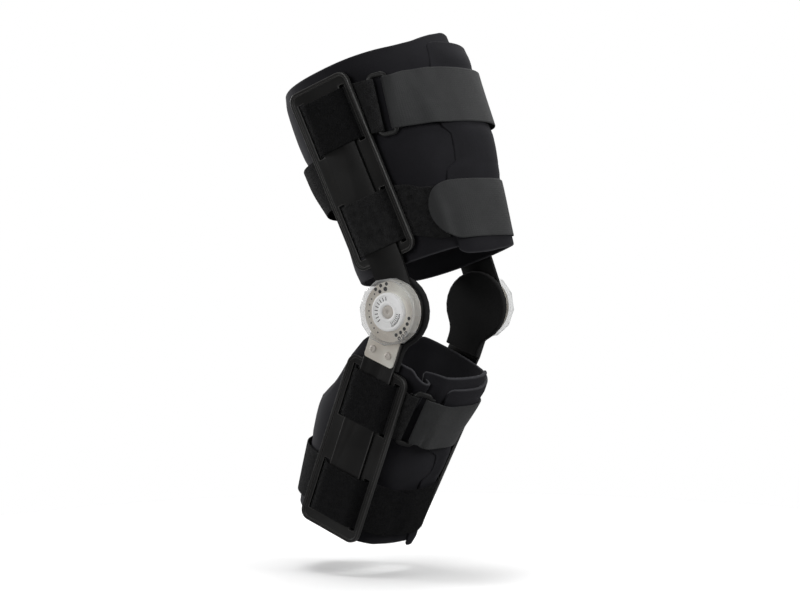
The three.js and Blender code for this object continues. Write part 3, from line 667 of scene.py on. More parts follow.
def perforatedGroup():  # an outline, filled round a hole at each loose point with a "hole" radius, made thick
    s, inside, out = newGeometry("perforatedPlate", ("Thickness", "Float", 0.0016), ("Hole Steps", "Int", 20))
    radius = named(s, "hole", "FLOAT")
    isHole = s.node("FunctionNodeCompare", {0: radius, 1: 0.0}, data_type="FLOAT", operation="GREATER_THAN")
    parts = s.node(
        "GeometryNodeSeparateGeometry",
        {"Geometry": inside["Geometry"], "Selection": isHole.outputs[0]},
        domain="POINT",
    ).outputs
    outline = s.node("GeometryNodeMeshToCurve", {"Mesh": parts["Inverted"]}).outputs[0]
    circle = s.node(
        "GeometryNodeCurvePrimitiveCircle", {"Resolution": inside["Hole Steps"], "Radius": 1.0}, mode="RADIUS",
    )
    rings = s.node("GeometryNodeInstanceOnPoints", {
        "Points": parts["Selection"],
        "Instance": circle.outputs["Curve"],
        "Scale": s.node("ShaderNodeCombineXYZ", {0: radius, 1: radius, 2: radius}).outputs[0],
    })
    real = s.node("GeometryNodeRealizeInstances", {"Geometry": rings.outputs[0]}).outputs[0]
    face = s.node("GeometryNodeFillCurve", {"Curve": s.join(outline, real)}).outputs[0]
    top = s.node(
        "GeometryNodeExtrudeMesh",
        {"Mesh": face, "Offset Scale": inside["Thickness"], "Individual": False},
        mode="FACES",
    ).outputs[0]
    bottom = s.node("GeometryNodeFlipFaces", {"Mesh": face}).outputs[0]
    merged = s.node("GeometryNodeMergeByDistance", {"Geometry": s.join(top, bottom), "Distance": 1e-6})
    return endTree(s, inside, out, merged.outputs[0])


trees = {
    "bars": scatterGroup("barsOnPoints", "GeometryNodeMeshCube", {"Size": (1, 1, 1)}),
    "discs": scatterGroup(
        "discsOnPoints", "GeometryNodeMeshCylinder", {"Vertices": 16, "Radius": 1.0, "Depth": 1.0},
    ),
    "fibres": fibreGroup(),
    "perforated": perforatedGroup(),
}


def grow(name, seed, tree, look, **values):  # runs a node tree on a seed mesh and keeps the plain mesh
    obj = sceneObject(name, seed)
    modifier = obj.modifiers.new(name, "NODES")
    modifier.node_group = trees[tree]
    values["Material"] = looks[look]
    for item in trees[tree].interface.items_tree:
        key = item.name.replace(" ", "")
        if item.item_type == "SOCKET" and item.in_out == "INPUT" and key in values:
            modifier[item.identifier] = values[key]
    made = plainMesh(obj)
    made.name = name + "Shape"
    return made


print("node trees:", len(trees))


# cuffs

wrapThickness, layerGap, strapThickness = 4.0, 0.4, 1.6
wrapHalfWidth, plateInner, barBend = 61.7, 65.7, 46.0
flapLift = wrapThickness + layerGap

thighCuff = {
    "name": "thigh",
    "sign": 1,
    "tilt": -21,
    "power": 2.4,
    "innerEnd": 13,
    "flapFrom": 72,
    "flapTo": 30,
    "centre": {"lateral": 7, "medial": 12},
    "lean": {"lateral": 8.5, "medial": 8.5},
    "sections": [  # distance, centre, depth
        (20, 11, 71), (46, 11.7, 73), (97, 14, 74), (150, 11, 82.5), (208, 8.5, 82), (260, 11, 75),
    ],
    "edges": [  # angle, rim at the knee, far rim
        (30, 36, 251), (10, 36, 249), (-10, 37, 242), (-22, 38, 238), (-40, 38, 236), (-90, 40, 236),
        (-145, 44, 236), (-180, 44, 238), (-225, 41, 238), (-270, 38, 238), (-300, 36, 237), (-325, 32, 236),
        (-338, 30, 236), (-357, 27.5, 236), (-377, 29.5, 236), (-420, 33, 236),
    ],
    "flap": [  # distance, angle
        (28, -36), (36, -40), (110, -30), (116, -21), (142, -19), (150, -24), (236, -10), (260, -9),
    ],
    "fold": (0, 8, 0, 0, 40),  # angle, spread, doubling back, depth, reach
    "corner": 9,
}
calfCuff = {
    "name": "calf",
    "sign": -1,
    "tilt": 21,
    "power": 2.7,
    "innerEnd": 40,
    "flapFrom": 82,
    "flapTo": 44,
    "centre": {"lateral": 0, "medial": 0},
    "lean": {"lateral": 0, "medial": -11},
    "sections": [
        (40, -8, 67), (75, -9.5, 65), (123, -16, 61.5), (160, -15, 58.5), (208, -12, 55.5), (240, -10, 52),
    ],
    "edges": [
        (45, 46, 224), (-28, 47, 226), (-40, 49, 227), (-46, 55, 227), (-51, 57, 227), (-57, 53, 227),
        (-65, 47.5, 227), (-82, 46, 226), (-95, 38, 225), (-102, 37, 224), (-107, 48, 224), (-122, 94, 223),
        (-145, 114, 222), (-180, 118, 222), (-208, 114, 222), (-226, 94, 222), (-240, 54, 222), (-252, 48, 222),
        (-305, 51, 222), (-330, 55, 223), (-350, 57, 229), (-420, 58, 229),
    ],
    "flap": [(50, -16), (64, -20), (123, -10), (131, 0), (146, 3), (162, -3), (208, 0), (240, 6)],
    "fold": (-45, 6.0, 18.5, 13.0, 40),
    "corner": 6,
}
for cuff in (thighCuff, calfCuff):
    cuff["centreAt"] = curveThrough(cuff["sections"], 1)
    cuff["depthAt"] = curveThrough(cuff["sections"], 2)
    cuff["nearAt"] = curveThrough(cuff["edges"], 1)
    cuff["farAt"] = curveThrough(cuff["edges"], 2)
    cuff["flapAt"] = curveThrough(cuff["flap"], 1)
    cuff["turn"] = Matrix.Rotation(math.radians(cuff["tilt"]), 4, "Y")


def cuffPoint(cuff, distance, angle, offset):
    centre, depth = cuff["centreAt"](distance), cuff["depthAt"](distance)
    c, s = math.cos(math.radians(angle)), math.sin(math.radians(angle))
    lean = cuff["lean"]["lateral" if s < 0 else "medial"]
    width = wrapHalfWidth + max(0, distance - barBend) * math.tan(math.radians(lean))
    p = cuff["power"]
    normal = Vector((signedPower(c, 2 - 2 / p) / depth, signedPower(s, 2 - 2 / p) / width)).normalized()
    return Vector((
        centre + depth * signedPower(c, 2 / p) + offset * normal.x,
        width * signedPower(s, 2 / p) + offset * normal.y,
        cuff["sign"] * distance,
    ))


def cuffAxis(cuff):  # a point inside the cuff, level with the given world point
    back = cuff["turn"].inverted()

    def inside(point):
        local = back @ point
        return cuff["turn"] @ Vector((cuff["centreAt"](abs(local.z)), 0, local.z))

    return inside


lapRise = (19, 5)  # degrees past the flap's edge where a layer starts and ends its way up onto the flap


def lapLift(cuff, distance, angle):
    edge = cuff["flapAt"](distance)
    onto = smoothStep(angle, edge - lapRise[0], edge - lapRise[1])
    return flapLift * min(onto, 1 - smoothStep(angle, cuff["flapTo"], cuff["flapFrom"]))


straps = {  # level at the slots, width, and path: angle, level, share of the width
    "thighUpper": {
        "cuff": thighCuff, "level": 186, "width": 50, "ringAngle": -59, "ringTurn": 5, "bridge": 5,
        "path": [
            (-90, 186, 1), (-57, 183.5, 1), (-38, 182, 1.08), (-10, 180, 1.12), (35, 180, 1.12), (62, 182, 1.04),
            (85, 186, 1),
        ],
    },
    "thighLower": {
        "cuff": thighCuff, "level": 85, "width": 50,
        "path": [
            (-90, 85, 1), (-68, 83, 1.12), (-55, 75.5, 1.12), (-30, 71, 1.12), (0, 69, 1.12), (30, 70.5, 1.1),
            (58, 77, 1.02), (85, 85, 1),
        ],
    },
    "thighBack": {"cuff": thighCuff, "level": 139, "width": 48, "slack": 5},
    "calfUpper": {
        "cuff": calfCuff, "level": 90, "width": 48, "ringAngle": -43, "ringTurn": 3,
        "path": [(-90, 90, 1), (-43, 92, 1), (-10, 98, 1), (40, 98, 1), (85, 90, 1)],
    },
    "calfLower": {
        "cuff": calfCuff, "level": 187, "width": 48,
        "path": [(-90, 187, 1), (-45, 192, 1), (-27, 192.5, 1), (-10, 189.5, 1), (30, 184, 1), (85, 187, 1)],
    },
    "calfBack": {"cuff": calfCuff, "level": 187, "width": 48, "slack": 2.5},
}
for strap in straps.values():
    if "path" in strap:
        strap["levelAt"] = curveThrough(strap["path"], 1)
        strap["shareAt"] = curveThrough(strap["path"], 2)


foamDetail = {
    "arc": 500.0, "sweep": -378.0,  # nominal length of the sheet, and the angle near its outer end
    "columnStep": 3.4, "ends": (0.0, 0.25, 0.7, 1.3, 2.1, 4.0, 6.5, 9.5),
    "height": 1000.0, "rowStep": 19.0, "rims": (0.0, 1.25, 3.5, 6.5, 10.5, 17.0),  # in thousandths of the height
    "cornerDrop": 0.8, "cutEdge": (0.25, 0.42),  # millimetres, share of the thickness
    "foldHalf": 20.0, "foldStep": 0.8, "foldFade": 1.4, "foldThin": 0.5,
    "foldIn": (-1.0, 0.7), "foldOut": (0.7, 3.6),  # in spreads of the fold
    "flapTaper": 24.0, "flapThin": 0.5,
    "bulge": 1.3, "wrinkle": 0.55, "wrinkleSize": (0.035, 0.045, 3.1), "softFrom": (1, 14),
    "pressFront": (88, 104), "pressBack": (84, 100), "pressBand": (1.5, 13),  # degrees, degrees, millimetres
}


def pressed(cuff, distance, angle, detail):  # 1 under a strap, 0 well clear of one
    a = (angle + 180) % 360 - 180
    most = 0.0
    for strap in straps.values():
        if strap["cuff"] is not cuff:
            continue
        if "path" in strap:
            level, here = strap["levelAt"](a), 1 - smoothStep(abs(a), *detail["pressFront"])
        else:
            level, here = strap["level"], smoothStep(abs(a), *detail["pressBack"])
        away = abs(distance - level) - strap["width"] / 2
        most = max(most, here * (1 - smoothStep(away, *detail["pressBand"])))
    return most


def wrapMesh(cuff, detail):
    arc, sweep, start, corner = detail["arc"], detail["sweep"], cuff["innerEnd"], cuff["corner"]
    foldAngle, foldSpread, foldBack, foldDepth, foldReach = cuff["fold"]
    columns = [place / arc for place in spread(arc, detail["columnStep"], detail["ends"])]
    if foldDepth:  # close columns where the cloth doubles back
        middle, reach = (start - foldAngle) / (start - sweep), detail["foldHalf"] / arc
        count = round(2 * detail["foldHalf"] / detail["foldStep"])
        columns = [u for u in columns if abs(u - middle) > reach]
        columns = sorted(columns + [middle + reach * (2 * k / count - 1) for k in range(count + 1)])
    rows = [place / detail["height"] for place in spread(detail["height"], detail["rowStep"], detail["rims"])]
    along, up, wrinkleSeed = detail["wrinkleSize"]
    grid = []
    for u in columns:
        line = []
        about = mix(start, sweep, u)
        near, far = cuff["nearAt"](about), cuff["farAt"](about)
        for end in (u * arc, (1 - u) * arc):  # rounded corners
            if end < corner:
                drop = corner - math.sqrt(max(0.0, corner * corner - (corner - end) ** 2))
                near, far = near + drop * detail["cornerDrop"], far - drop * detail["cornerDrop"]
        for v in rows:
            distance = mix(near, far, v)
            angle = mix(start, cuff["flapAt"](distance) - 360, u)
            lift = flapLift * (1 - smoothStep(angle, cuff["flapTo"] - 360, cuff["flapFrom"] - 360))
            turn = (angle - foldAngle) / foldSpread
            fade = max(0.0, 1 - (distance - near) / foldReach) ** detail["foldFade"]
            dent = foldDepth * fade * smoothStep(turn, *detail["foldIn"])
            dent *= 1 - smoothStep(turn, *detail["foldOut"])
            shifted = angle - foldBack * fade * turn * math.exp(-turn * turn)
            border = min(u * arc, (1 - u) * arc, v * (far - near), (1 - v) * (far - near))
            thin = mix(detail["flapThin"], 1, smoothStep((1 - u) * arc, 0, detail["flapTaper"]))
            if foldDepth:
                thin *= 1 - detail["foldThin"] * fade * math.exp(-turn * turn)
            soft = (1 - pressed(cuff, distance, angle, detail)) * smoothStep(border, *detail["softFrom"])
            spot = Vector((angle * along, distance * up, wrinkleSeed * cuff["sign"]))
            puff = soft * (detail["bulge"] + detail["wrinkle"] * noise.noise(spot))
            point = cuffPoint(cuff, distance, shifted, lift - dent + puff - wrapThickness * (1 - thin / 2))
            first, last = detail["cutEdge"]
            rim = 1 - smoothStep(v * (far - near), first, wrapThickness * last)
            line.append((cuff["turn"] @ point, border, wrapThickness * thin, rim, (u * arc, distance)))
        grid.append(line)
    return sheetMesh(cuff["name"] + "Foam", grid, cuffAxis(cuff))


for cuff, flat in ((thighCuff, (0.21, 0.52)), (calfCuff, (0.18, 0.46))):
    body = cuff["name"]
    wrap = linkPiece(body + "FoamWrap", wrapMesh(cuff, foamDetail), "foam", body, body + "_wrap")
    print("cuff:", body, len(wrap.data.polygons), "faces")


# straps

strapDetail = {
    "step": 2.2, "ends": (0.12, 0.35, 0.7, 1.2), "endGap": 0.4, "endShare": 0.9,
    "across": 5.0, "edges": (0.0, 0.12, 0.35, 0.7, 1.4),
    "tipLeast": 0.1,  # share of the width that a round tip keeps at its end
    "crossing": [  # across a bar, height
        (31, -3.6), (27.8, -2.4), (24.4, 1.3), (21.6, 5.2), (18.9, 6.75), (9, 6.95), (0, 7),
    ],
    "ringLoop": [  # along the strap, height
        (13, 1.9), (8, 2.1), (5.5, 2.5), (5.1, 4), (5.5, 5.5), (8, 6), (12, 5.7),
    ],
    "ringRise": (4.2, 8, 38),  # height above the cloth just past a ring, and the degrees where it comes down
    "bridge": (5, 45),  # degrees where a strap leaves the cloth towards the medial plate
    "slackRun": 40, "backSteps": 26,
}


def standOff(strap, angle, detail):  # a strap comes down slowly past its ring, and bridges to the medial plate
    past = 0.0
    if "ringAngle" in strap:
        rise, first, last = detail["ringRise"]
        past = rise * (1 - smoothStep(angle, strap["ringAngle"] + first, strap["ringAngle"] + last))
    return past + strap.get("bridge", 0) * smoothStep(angle, *detail["bridge"])


# a station is a place for an offset across the strap, and a share of the strap's width

def onCloth(strap, angles, extra=0.0, lapped=1, widened=True):
    cuff = strap["cuff"]

    def station(angle):
        def place(offset):
            distance = strap["levelAt"](angle) + cuff["sign"] * offset
            lift = lapped * lapLift(cuff, distance, angle) + standOff(strap, angle, strapDetail)
            return cuffPoint(cuff, distance, angle, lift + layerGap + extra)

        return place, strap["shareAt"](angle) if widened else 1

    return [station(angle) for angle in angles]


def overBar(strap, side):
    cuff, level, crossing = strap["cuff"], strap["level"], strapDetail["crossing"]
    where = "lateral" if side < 0 else "medial"
    tilt = math.radians(cuff["lean"][where])
    rear = [(-across, height) for across, height in crossing]
    front = crossing[(0 if cuff is thighCuff else 1):-1][::-1]
    rows = rear + front if side < 0 else (rear + front)[::-1]

    def station(across, height):
        def place(offset):
            along = (level - barBend) / math.cos(tilt) + cuff["sign"] * offset
            return Vector((
                cuff["centre"][where] + across,
                side * (plateInner + along * math.sin(tilt) + height * math.cos(tilt)),
                cuff["sign"] * (barBend + along * math.cos(tilt) - height * math.sin(tilt)),
            ))

        return place, 1

    return [station(across, height) for across, height in rows]


def ringFrame(strap):
    cuff, angle = strap["cuff"], strap["ringAngle"]
    level = strap["levelAt"](angle)
    origin = cuffPoint(cuff, level, angle, layerGap)
    along = (cuffPoint(cuff, level, angle + 1, layerGap) - origin).normalized()
    up = (cuffPoint(cuff, level + cuff["sign"], angle, layerGap) - origin).normalized()
    out = along.cross(up).normalized()
    turn = Matrix((along, out.cross(along), out)).transposed().to_4x4()
    return Matrix.Translation(origin) @ turn @ Matrix.Rotation(math.radians(-strap["ringTurn"]), 4, "Z")


def roundRing(ring, way):
    rows = [(way * along, height) for along, height in strapDetail["ringLoop"]]

    def station(along, height):
        return lambda offset: ring @ Vector((along, offset, height)), 1

    return [station(along, height) for along, height in (rows if way > 0 else rows[::-1])]


def roundBack(strap, first, last):
    cuff, run = strap["cuff"], strapDetail["slackRun"]

    def station(angle):
        slack = strap["slack"] * smoothStep(angle, first, first + run) * (1 - smoothStep(angle, last - run, last))
        return lambda offset: cuffPoint(cuff, strap["level"] + cuff["sign"] * offset, angle, layerGap + slack), 1

    return [station(angle) for angle in evenly(first, last, strapDetail["backSteps"])]


def throughKnots(points, knots, i, t):  # on a curve through the points, at part t between points i and i + 1
    p1, p2 = points[i], points[i + 1]
    t1, t2 = knots[i], knots[i + 1]
    if i > 0:
        p0, t0 = points[i - 1], knots[i - 1]
    else:
        p0, t0 = p1 * 2 - p2, t1 * 2 - t2
    if i + 2 < len(points):
        p3, t3 = points[i + 2], knots[i + 2]
    else:
        p3, t3 = p2 * 2 - p1, t2 * 2 - t1
    x = mix(t1, t2, t)
    a1 = p0 * ((t1 - x) / (t1 - t0)) + p1 * ((x - t0) / (t1 - t0))
    a2 = p1 * ((t2 - x) / (t2 - t1)) + p2 * ((x - t1) / (t2 - t1))
    a3 = p2 * ((t3 - x) / (t3 - t2)) + p3 * ((x - t2) / (t3 - t2))
    b1 = a1 * ((t2 - x) / (t2 - t0)) + a2 * ((x - t0) / (t2 - t0))
    b2 = a2 * ((t3 - x) / (t3 - t1)) + a3 * ((x - t1) / (t3 - t1))
    return b1 * ((t2 - x) / (t2 - t1)) + b2 * ((x - t1) / (t2 - t1))


def strapSamples(centre, detail):  # (segment, part of it) down a strap, close together at both ends
    lengths = [(b - a).length for a, b in zip(centre, centre[1:])]
    first, last, end = lengths[0], lengths[-1], len(lengths) - 1
    fine, clear, most = detail["ends"], detail["ends"][-1] + detail["endGap"], detail["endShare"]
    samples = []
    for i, length in enumerate(lengths):
        parts = max(1, math.ceil(length / detail["step"]))
        samples += [(i, k / parts) for k in range(parts)]
    head = [(0, 0.0)] + [(0, f / first) for f in fine if f < first * most]
    samples = head + [(i, t) for i, t in samples if i > 0 or t * first > clear]
    samples = [(i, t) for i, t in samples if i < end or (1 - t) * last > clear]
    return samples + [(end, 1 - f / last) for f in reversed(fine) if f < last * most] + [(end, 1.0)]


def roundTip(lines, run, offsets, tip, least):  # draws each line in to the width of a half circle
    for line, along in zip(lines, run):
        if along < tip:
            share = max(least, math.sqrt(1 - (1 - along / tip) ** 2))
            whole = list(line)
            for j, offset in enumerate(offsets):
                x = offset * share
                n = min(max(bisect.bisect_right(offsets, x) - 1, 0), len(offsets) - 2)
                line[j] = mix(whole[n], whole[n + 1], (x - offsets[n]) / (offsets[n + 1] - offsets[n]))


def strapMesh(name, strap, stations, tip, detail):
    cuff, half = strap["cuff"], strap["width"] / 2
    offsets = [o - half for o in spread(strap["width"], detail["across"], detail["edges"])]
    columns = [[place(o * share) for place, share in stations] for o in offsets]
    centre = [place(0.0) for place, _ in stations]
    knots = [0.0]
    for a, b in zip(centre, centre[1:]):
        knots.append(knots[-1] + max(1e-3, (b - a).length) ** 0.5)
    lines = [[throughKnots(column, knots, i, t) for column in columns] for i, t in strapSamples(centre, detail)]
    mid = len(offsets) // 2
    run = [0.0]
    for a, b in zip(lines, lines[1:]):
        run.append(run[-1] + (b[mid] - a[mid]).length)
    if tip:
        roundTip(lines, run, offsets, tip, detail["tipLeast"])
    grid = []
    for i, line in enumerate(lines):
        grid.append([])
        for j, point in enumerate(line):  # stations lie on the inner face, half a thickness in from the middle
            middle = cuff["turn"] @ (point + gridCross(lines, i, j).normalized() * (strapThickness / 2))
            edge = min(half - abs(offsets[j]), run[i], run[-1] - run[i])
            grid[i].append((middle, edge, strapThickness, 0.0, (run[i], offsets[j])))
    return sheetMesh(name, grid, cuffAxis(cuff)), run[-1]


upper, lower, calfUp, calfLow = [straps[key] for key in ("thighUpper", "thighLower", "calfUpper", "calfLower")]
thighRing, calfRing = ringFrame(upper), ringFrame(calfUp)
upperBar, calfBar = overBar(upper, -1), overBar(calfUp, -1)
overAnchor = strapThickness + layerGap + 0.2  # the lower strap's tip lies on its anchor
onAnchor = onCloth(lower, [-54.8, -52.5, -49.5, -46], overAnchor)
overPile = 0.3  # a little room under the calf's straps
runs = {  # stations from one end of a strap to the other, with angles round the cuff
    "thighUpperAnchor": upperBar[:-2],
    "thighUpperTail": upperBar[-3:] + roundRing(thighRing, -1),
    "thighUpperStrap": roundRing(thighRing, 1) + onCloth(upper, evenly(-38, 66, 13)) + overBar(upper, 1),
    "thighLowerAnchor": overBar(lower, -1) + onCloth(lower, evenly(-68, -44, 4), 0, 0, False),
    "thighLowerStrap": onAnchor + onCloth(lower, evenly(-40, 66, 13)) + overBar(lower, 1),
    "thighBackStrap": roundBack(straps["thighBack"], 98, 262),
    "calfUpperAnchor": calfBar[:-1],
    "calfUpperTail": calfBar[-2:] + roundRing(calfRing, -1),
    "calfUpperStrap": roundRing(calfRing, 1) + onCloth(calfUp, evenly(-24, 42, 11), overPile) + overBar(calfUp, 1),
    "calfLowerStrap": overBar(calfLow, -1) + onCloth(calfLow, evenly(-27, 42, 11), overPile) + overBar(calfLow, 1),
    "calfBackStrap": roundBack(straps["calfBack"], 105, 255),
}
strapList = [  # piece, CAD node, look, strap, round tip, what it lies on
    ("thighUpperAnchor", "thigh_upper_anchor", "pile", "thighUpper", 0, ["thigh_bar_lateral"]),
    ("thighUpperTail", "thigh_upper_anchor", "palePile", "thighUpper", 0, ["thigh_upper_ring"]),
    ("thighUpperStrap", "thigh_upper_strap", "webbing", "thighUpper", 0, ["thigh_wrap", "thigh_upper_ring"]),
    ("thighLowerAnchor", "thigh_lower_anchor", "palePile", "thighLower", 0, ["thigh_bar_lateral", "thigh_wrap"]),
    ("thighLowerStrap", "thigh_lower_strap", "webbing", "thighLower", 28, ["thigh_wrap", "thigh_lower_anchor"]),
    ("thighBackStrap", "thigh_back_strap", "pile", "thighBack", 0, ["thigh_wrap"]),
    ("calfUpperAnchor", "calf_upper_anchor", "pile", "calfUpper", 0, ["calf_bar_lateral"]),
    ("calfUpperTail", "calf_upper_anchor", "palePile", "calfUpper", 0, ["calf_upper_ring"]),
    ("calfUpperStrap", "calf_upper_strap", "webbing", "calfUpper", 0, ["calf_wrap", "calf_upper_ring"]),
    ("calfLowerStrap", "calf_lower_strap", "pile", "calfLower", 0, ["calf_wrap", "calf_bar_lateral"]),
    ("calfBackStrap", "calf_back_strap", "pile", "calfBack", 0, ["calf_wrap"]),
]
strapPieces = {}
for name, node, look, key, tip, under in strapList:
    strap = straps[key]
    mesh, length = strapMesh(name + "Cloth", strap, runs[name], tip, strapDetail)
    strapPieces[name] = linkPiece(name, mesh, look, strap["cuff"]["name"], node)
    flat = (strap["width"] * mm, round(length) * mm)
    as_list(under)
    print("strap:", name, round(length), "mm long,", len(mesh.polygons), "faces")


pile = {"Density": 1.15e6, "Length": 0.9 * mm, "Thick": 0.13 * mm, "Lean": 0.75, "Seed": 7}
pileMargin = 8.0  # bare cloth at a strap's ends


def outerFaces(name, pieces):  # the outer faces of strap meshes, away from their ends
    bm = bmesh.new()
    for piece in pieces:
        part = bmesh.new()
        part.from_mesh(piece.data)
        part.faces.ensure_lookup_table()
        flat = part.loops.layers.uv["cloth"]
        reach = max(loop[flat].uv.x for face in part.faces for loop in face.loops)
        drop = []
        for face in part.faces:  # outer and inner faces take turns
            along = sum(loop[flat].uv.x for loop in face.loops) / len(face.loops)
            if face.index % 2 or not pileMargin * mm < along < reach - pileMargin * mm:
                drop.append(face)
        bmesh.ops.delete(part, geom=drop, context="FACES")
        loose = bpy.data.meshes.new(name + "Part")
        part.to_mesh(loose)
        part.free()
        bm.from_mesh(loose)
    mesh = bpy.data.meshes.new(name)
    bm.to_mesh(mesh)
    bm.free()
    return mesh


for label, body, look, names in (
    ("thighPileFibres", "thigh", "pile", ["thighUpperAnchor"]),
    ("thighPalePileFibres", "thigh", "palePile", ["thighLowerAnchor"]),
    ("calfPileFibres", "calf", "pile", ["calfUpperAnchor", "calfLowerStrap"]),
):
    fibres = grow(label, outerFaces(label + "Seed", [strapPieces[n] for n in names]), "fibres", look, **pile)
    linkPiece(label, fibres, look, body)
    print("fibres:", label, len(fibres.polygons), "faces")


# slide rings

ringShape = {
    "width": 20, "over": 11, "bar": 4.6, "thick": 3.4, "base": 2.3,  # over is the length past the strap's width
    "corner": 4.6, "cornerSteps": 8, "round": 1.5, "roundSteps": 4, "step": 4,
}


def roundedCorners(w, h, r, steps):  # points round a rectangle of half sizes w and h, and the way each faces
    for cx, cy, start in ((w - r, h - r, 0), (r - w, h - r, 90), (r - w, r - h, 180), (w - r, r - h, 270)):
        for a in evenly(start, start + 90, steps):
            way = Vector((*polar(1, a), 0))
            yield Vector((cx, cy, 0)) + way * r, way


def ringMesh(name, ring, strap, shape):
    bar, thick = shape["bar"], shape["thick"]
    w, h = (shape["width"] - bar) / 2, (strap["width"] + shape["over"] - bar) / 2
    path = list(roundedCorners(w, h, shape["corner"], shape["cornerSteps"]))
    dense = []
    for (point, normal), (following, nextNormal) in zip(path, path[1:] + path[:1]):
        parts = max(1, round((following - point).length / shape["step"]))
        for i in range(parts):
            dense.append((point.lerp(following, i / parts), normal.lerp(nextNormal, i / parts).normalized()))
    section = [point for point, _ in roundedCorners(bar / 2, thick / 2, shape["round"], shape["roundSteps"])]
    verts, faces = [], []
    for point, normal in dense:
        for across, height, _ in section:
            local = point + normal * across + Vector((0, 0, shape["base"] + thick / 2 + height))
            verts.append((strap["cuff"]["turn"] @ (ring @ local)) * mm)
    n, m = len(dense), len(section)
    for i in range(n):
        for j in range(m):
            a, b = i * m, (i + 1) % n * m
            faces.append([a + j, b + j, b + (j + 1) % m, a + (j + 1) % m])
    mesh = bpy.data.meshes.new(name)
    mesh.from_pydata(verts, [], faces)
    faceOutwards(mesh)
    shadeSmooth(mesh)
    return mesh


for strap, ring in ((upper, thighRing), (calfUp, calfRing)):
    body = strap["cuff"]["name"]
    mesh = ringMesh(body + "RingShape", ring, strap, ringShape)
    linkPiece(body + "SlideRing", mesh, "ring", body, body + "_upper_ring")
print("rings: two slide rings")


# strap plates and bars

for body in ("thigh", "calf"):
    for side in sides:
        for kind in ("plate", "bar"):
            node = f"{body}_{kind}_{side}"
            mesh = solidCopy(node, kind)
            linkPiece(f"{body}{kind.capitalize()}{side.capitalize()}", mesh, kind, body, node)
print("plates and bars: rounded copies")


# dial hinges

hinge = {
    "barInner": 69.0, "steelInner": 72.5, "steelThick": 1.6, "dialInner": 74.4, "dialHeight": 11.4,
    "plateRadius": 30.0, "hubRadius": 18.0, "pivotHole": 4.3, "screwHole": 2.3, "stopHole": 1.7,
    "screws": {"rear": (-9, -41), "front": (9, -41)},
    "tab": (34, 51, 3),  # width, end, corner
    "stops": [  # radius, first angle, step, count
        (21.8, 98, 13, 4), (26.4, 94, 11, 4), (21.8, -62, 13, 5), (26.4, -56, 11, 3),
    ],
    "hubSteps": 72, "pivotSteps": 48, "screwSteps": 28, "discSteps": 72, "tabSteps": 6, "ringSteps": 64,
    "padFill": 0.9,
}
dial = {
    "ticks": (12.5, 118, 15.5, 9, (3.6, 0.75, 0.2)),  # radius, first angle, step, count, size
    "scale": (11.3, -46, 9.5, 7, (2.2, 0.6, 0.2)),
    "numbers": ("0", "15", "30", "45", "60", "75", "90"),
    "numberRadius": 13.8, "numberSize": 2.7, "numberBold": 0.04, "numberThick": 0.06, "numberLift": 0.05,
    "faceDrop": 1.6,  # from the cover's height down to the printed face
    "ring": (28.1, 17.9, 5.0, 0.8),  # outside, inside, height above the plate, thickness
    "stops": [(26.2, 119, 15, 3), (21.7, 142, 15, 1), (22.4, -50, 14.2, 5), (26.4, -45, 10, 3)],
    "stop": (1.75, 1.75, 0.12),
    "core": (0.8, 0.8, 0.2),  # pale middles of the last row of stops
    "pin": (21.7, 124, 0, 1, (2.1, 2.1, 0.5)),
    "dots": (23.6, 158, 14, 8, (0.8, 0.8, 0.1)),
}


def hingePlace(side):  # x forwards, z up, out from the middle of the leg
    way = -1 if side == "lateral" else 1
    return lambda x, z, out: calfCuff["turn"] @ Vector((x, way * out, z))


# profiles of the turned pieces: radius, height

def hubRows(h):
    top, r, foot = h["dialHeight"] - 1, h["hubRadius"], 0.02
    return [
        (6.4, foot), (r, foot), (r, top - 1.0), (r - 0.35, top - 0.5), (r - 0.9, top - 0.1), (r - 1.4, top),
        (r - 2.4, top), (r - 2.7, top - 0.15), (r - 2.9, top - 0.6), (9.9, top - 0.6), (9.6, top - 0.3),
        (9.3, top - 0.05), (8.4, top), (7.6, top - 0.15), (6.9, top - 0.6), (6.4, top - 1.2), (6.4, foot),
    ]


def pivotRows(h):
    stem = h["dialInner"] - h["barInner"]
    return [
        (0, 0.02), (4, 0.02), (4, stem + 5), (6, stem + 5), (6, stem + 8.6), (5.7, stem + 9.2), (5.2, stem + 9.5),
        (1.9, stem + 9.5), (1.6, stem + 9.3), (1.5, stem + 8.9), (0, stem + 8.9),
    ]


def screwRows(h):
    head = h["steelInner"] + h["steelThick"] - h["barInner"] + 0.3
    return [
        (0, 0.02), (2, 0.02), (2, head), (3.7, head), (3.72, head + 0.35), (3.5, head + 0.85), (3.0, head + 1.25),
        (2.3, head + 1.55), (1.9, head + 1.62), (1.7, head + 1.5), (1.55, head + 0.9), (0, head + 0.8),
    ]


def holedSeed(name, outline, holes):  # an outline of edges, and a loose point for each hole
    mesh = bpy.data.meshes.new(name)
    n = len(outline)
    points = [(x * mm, z * mm, 0) for x, z, *_ in outline + holes]
    mesh.from_pydata(points, [(k, (k + 1) % n) for k in range(n)], [])
    sizes = [0.0] * n + [size * mm for _, _, size in holes]
    mesh.attributes.new("hole", "FLOAT", "POINT").data.foreach_set("value", sizes)
    return mesh


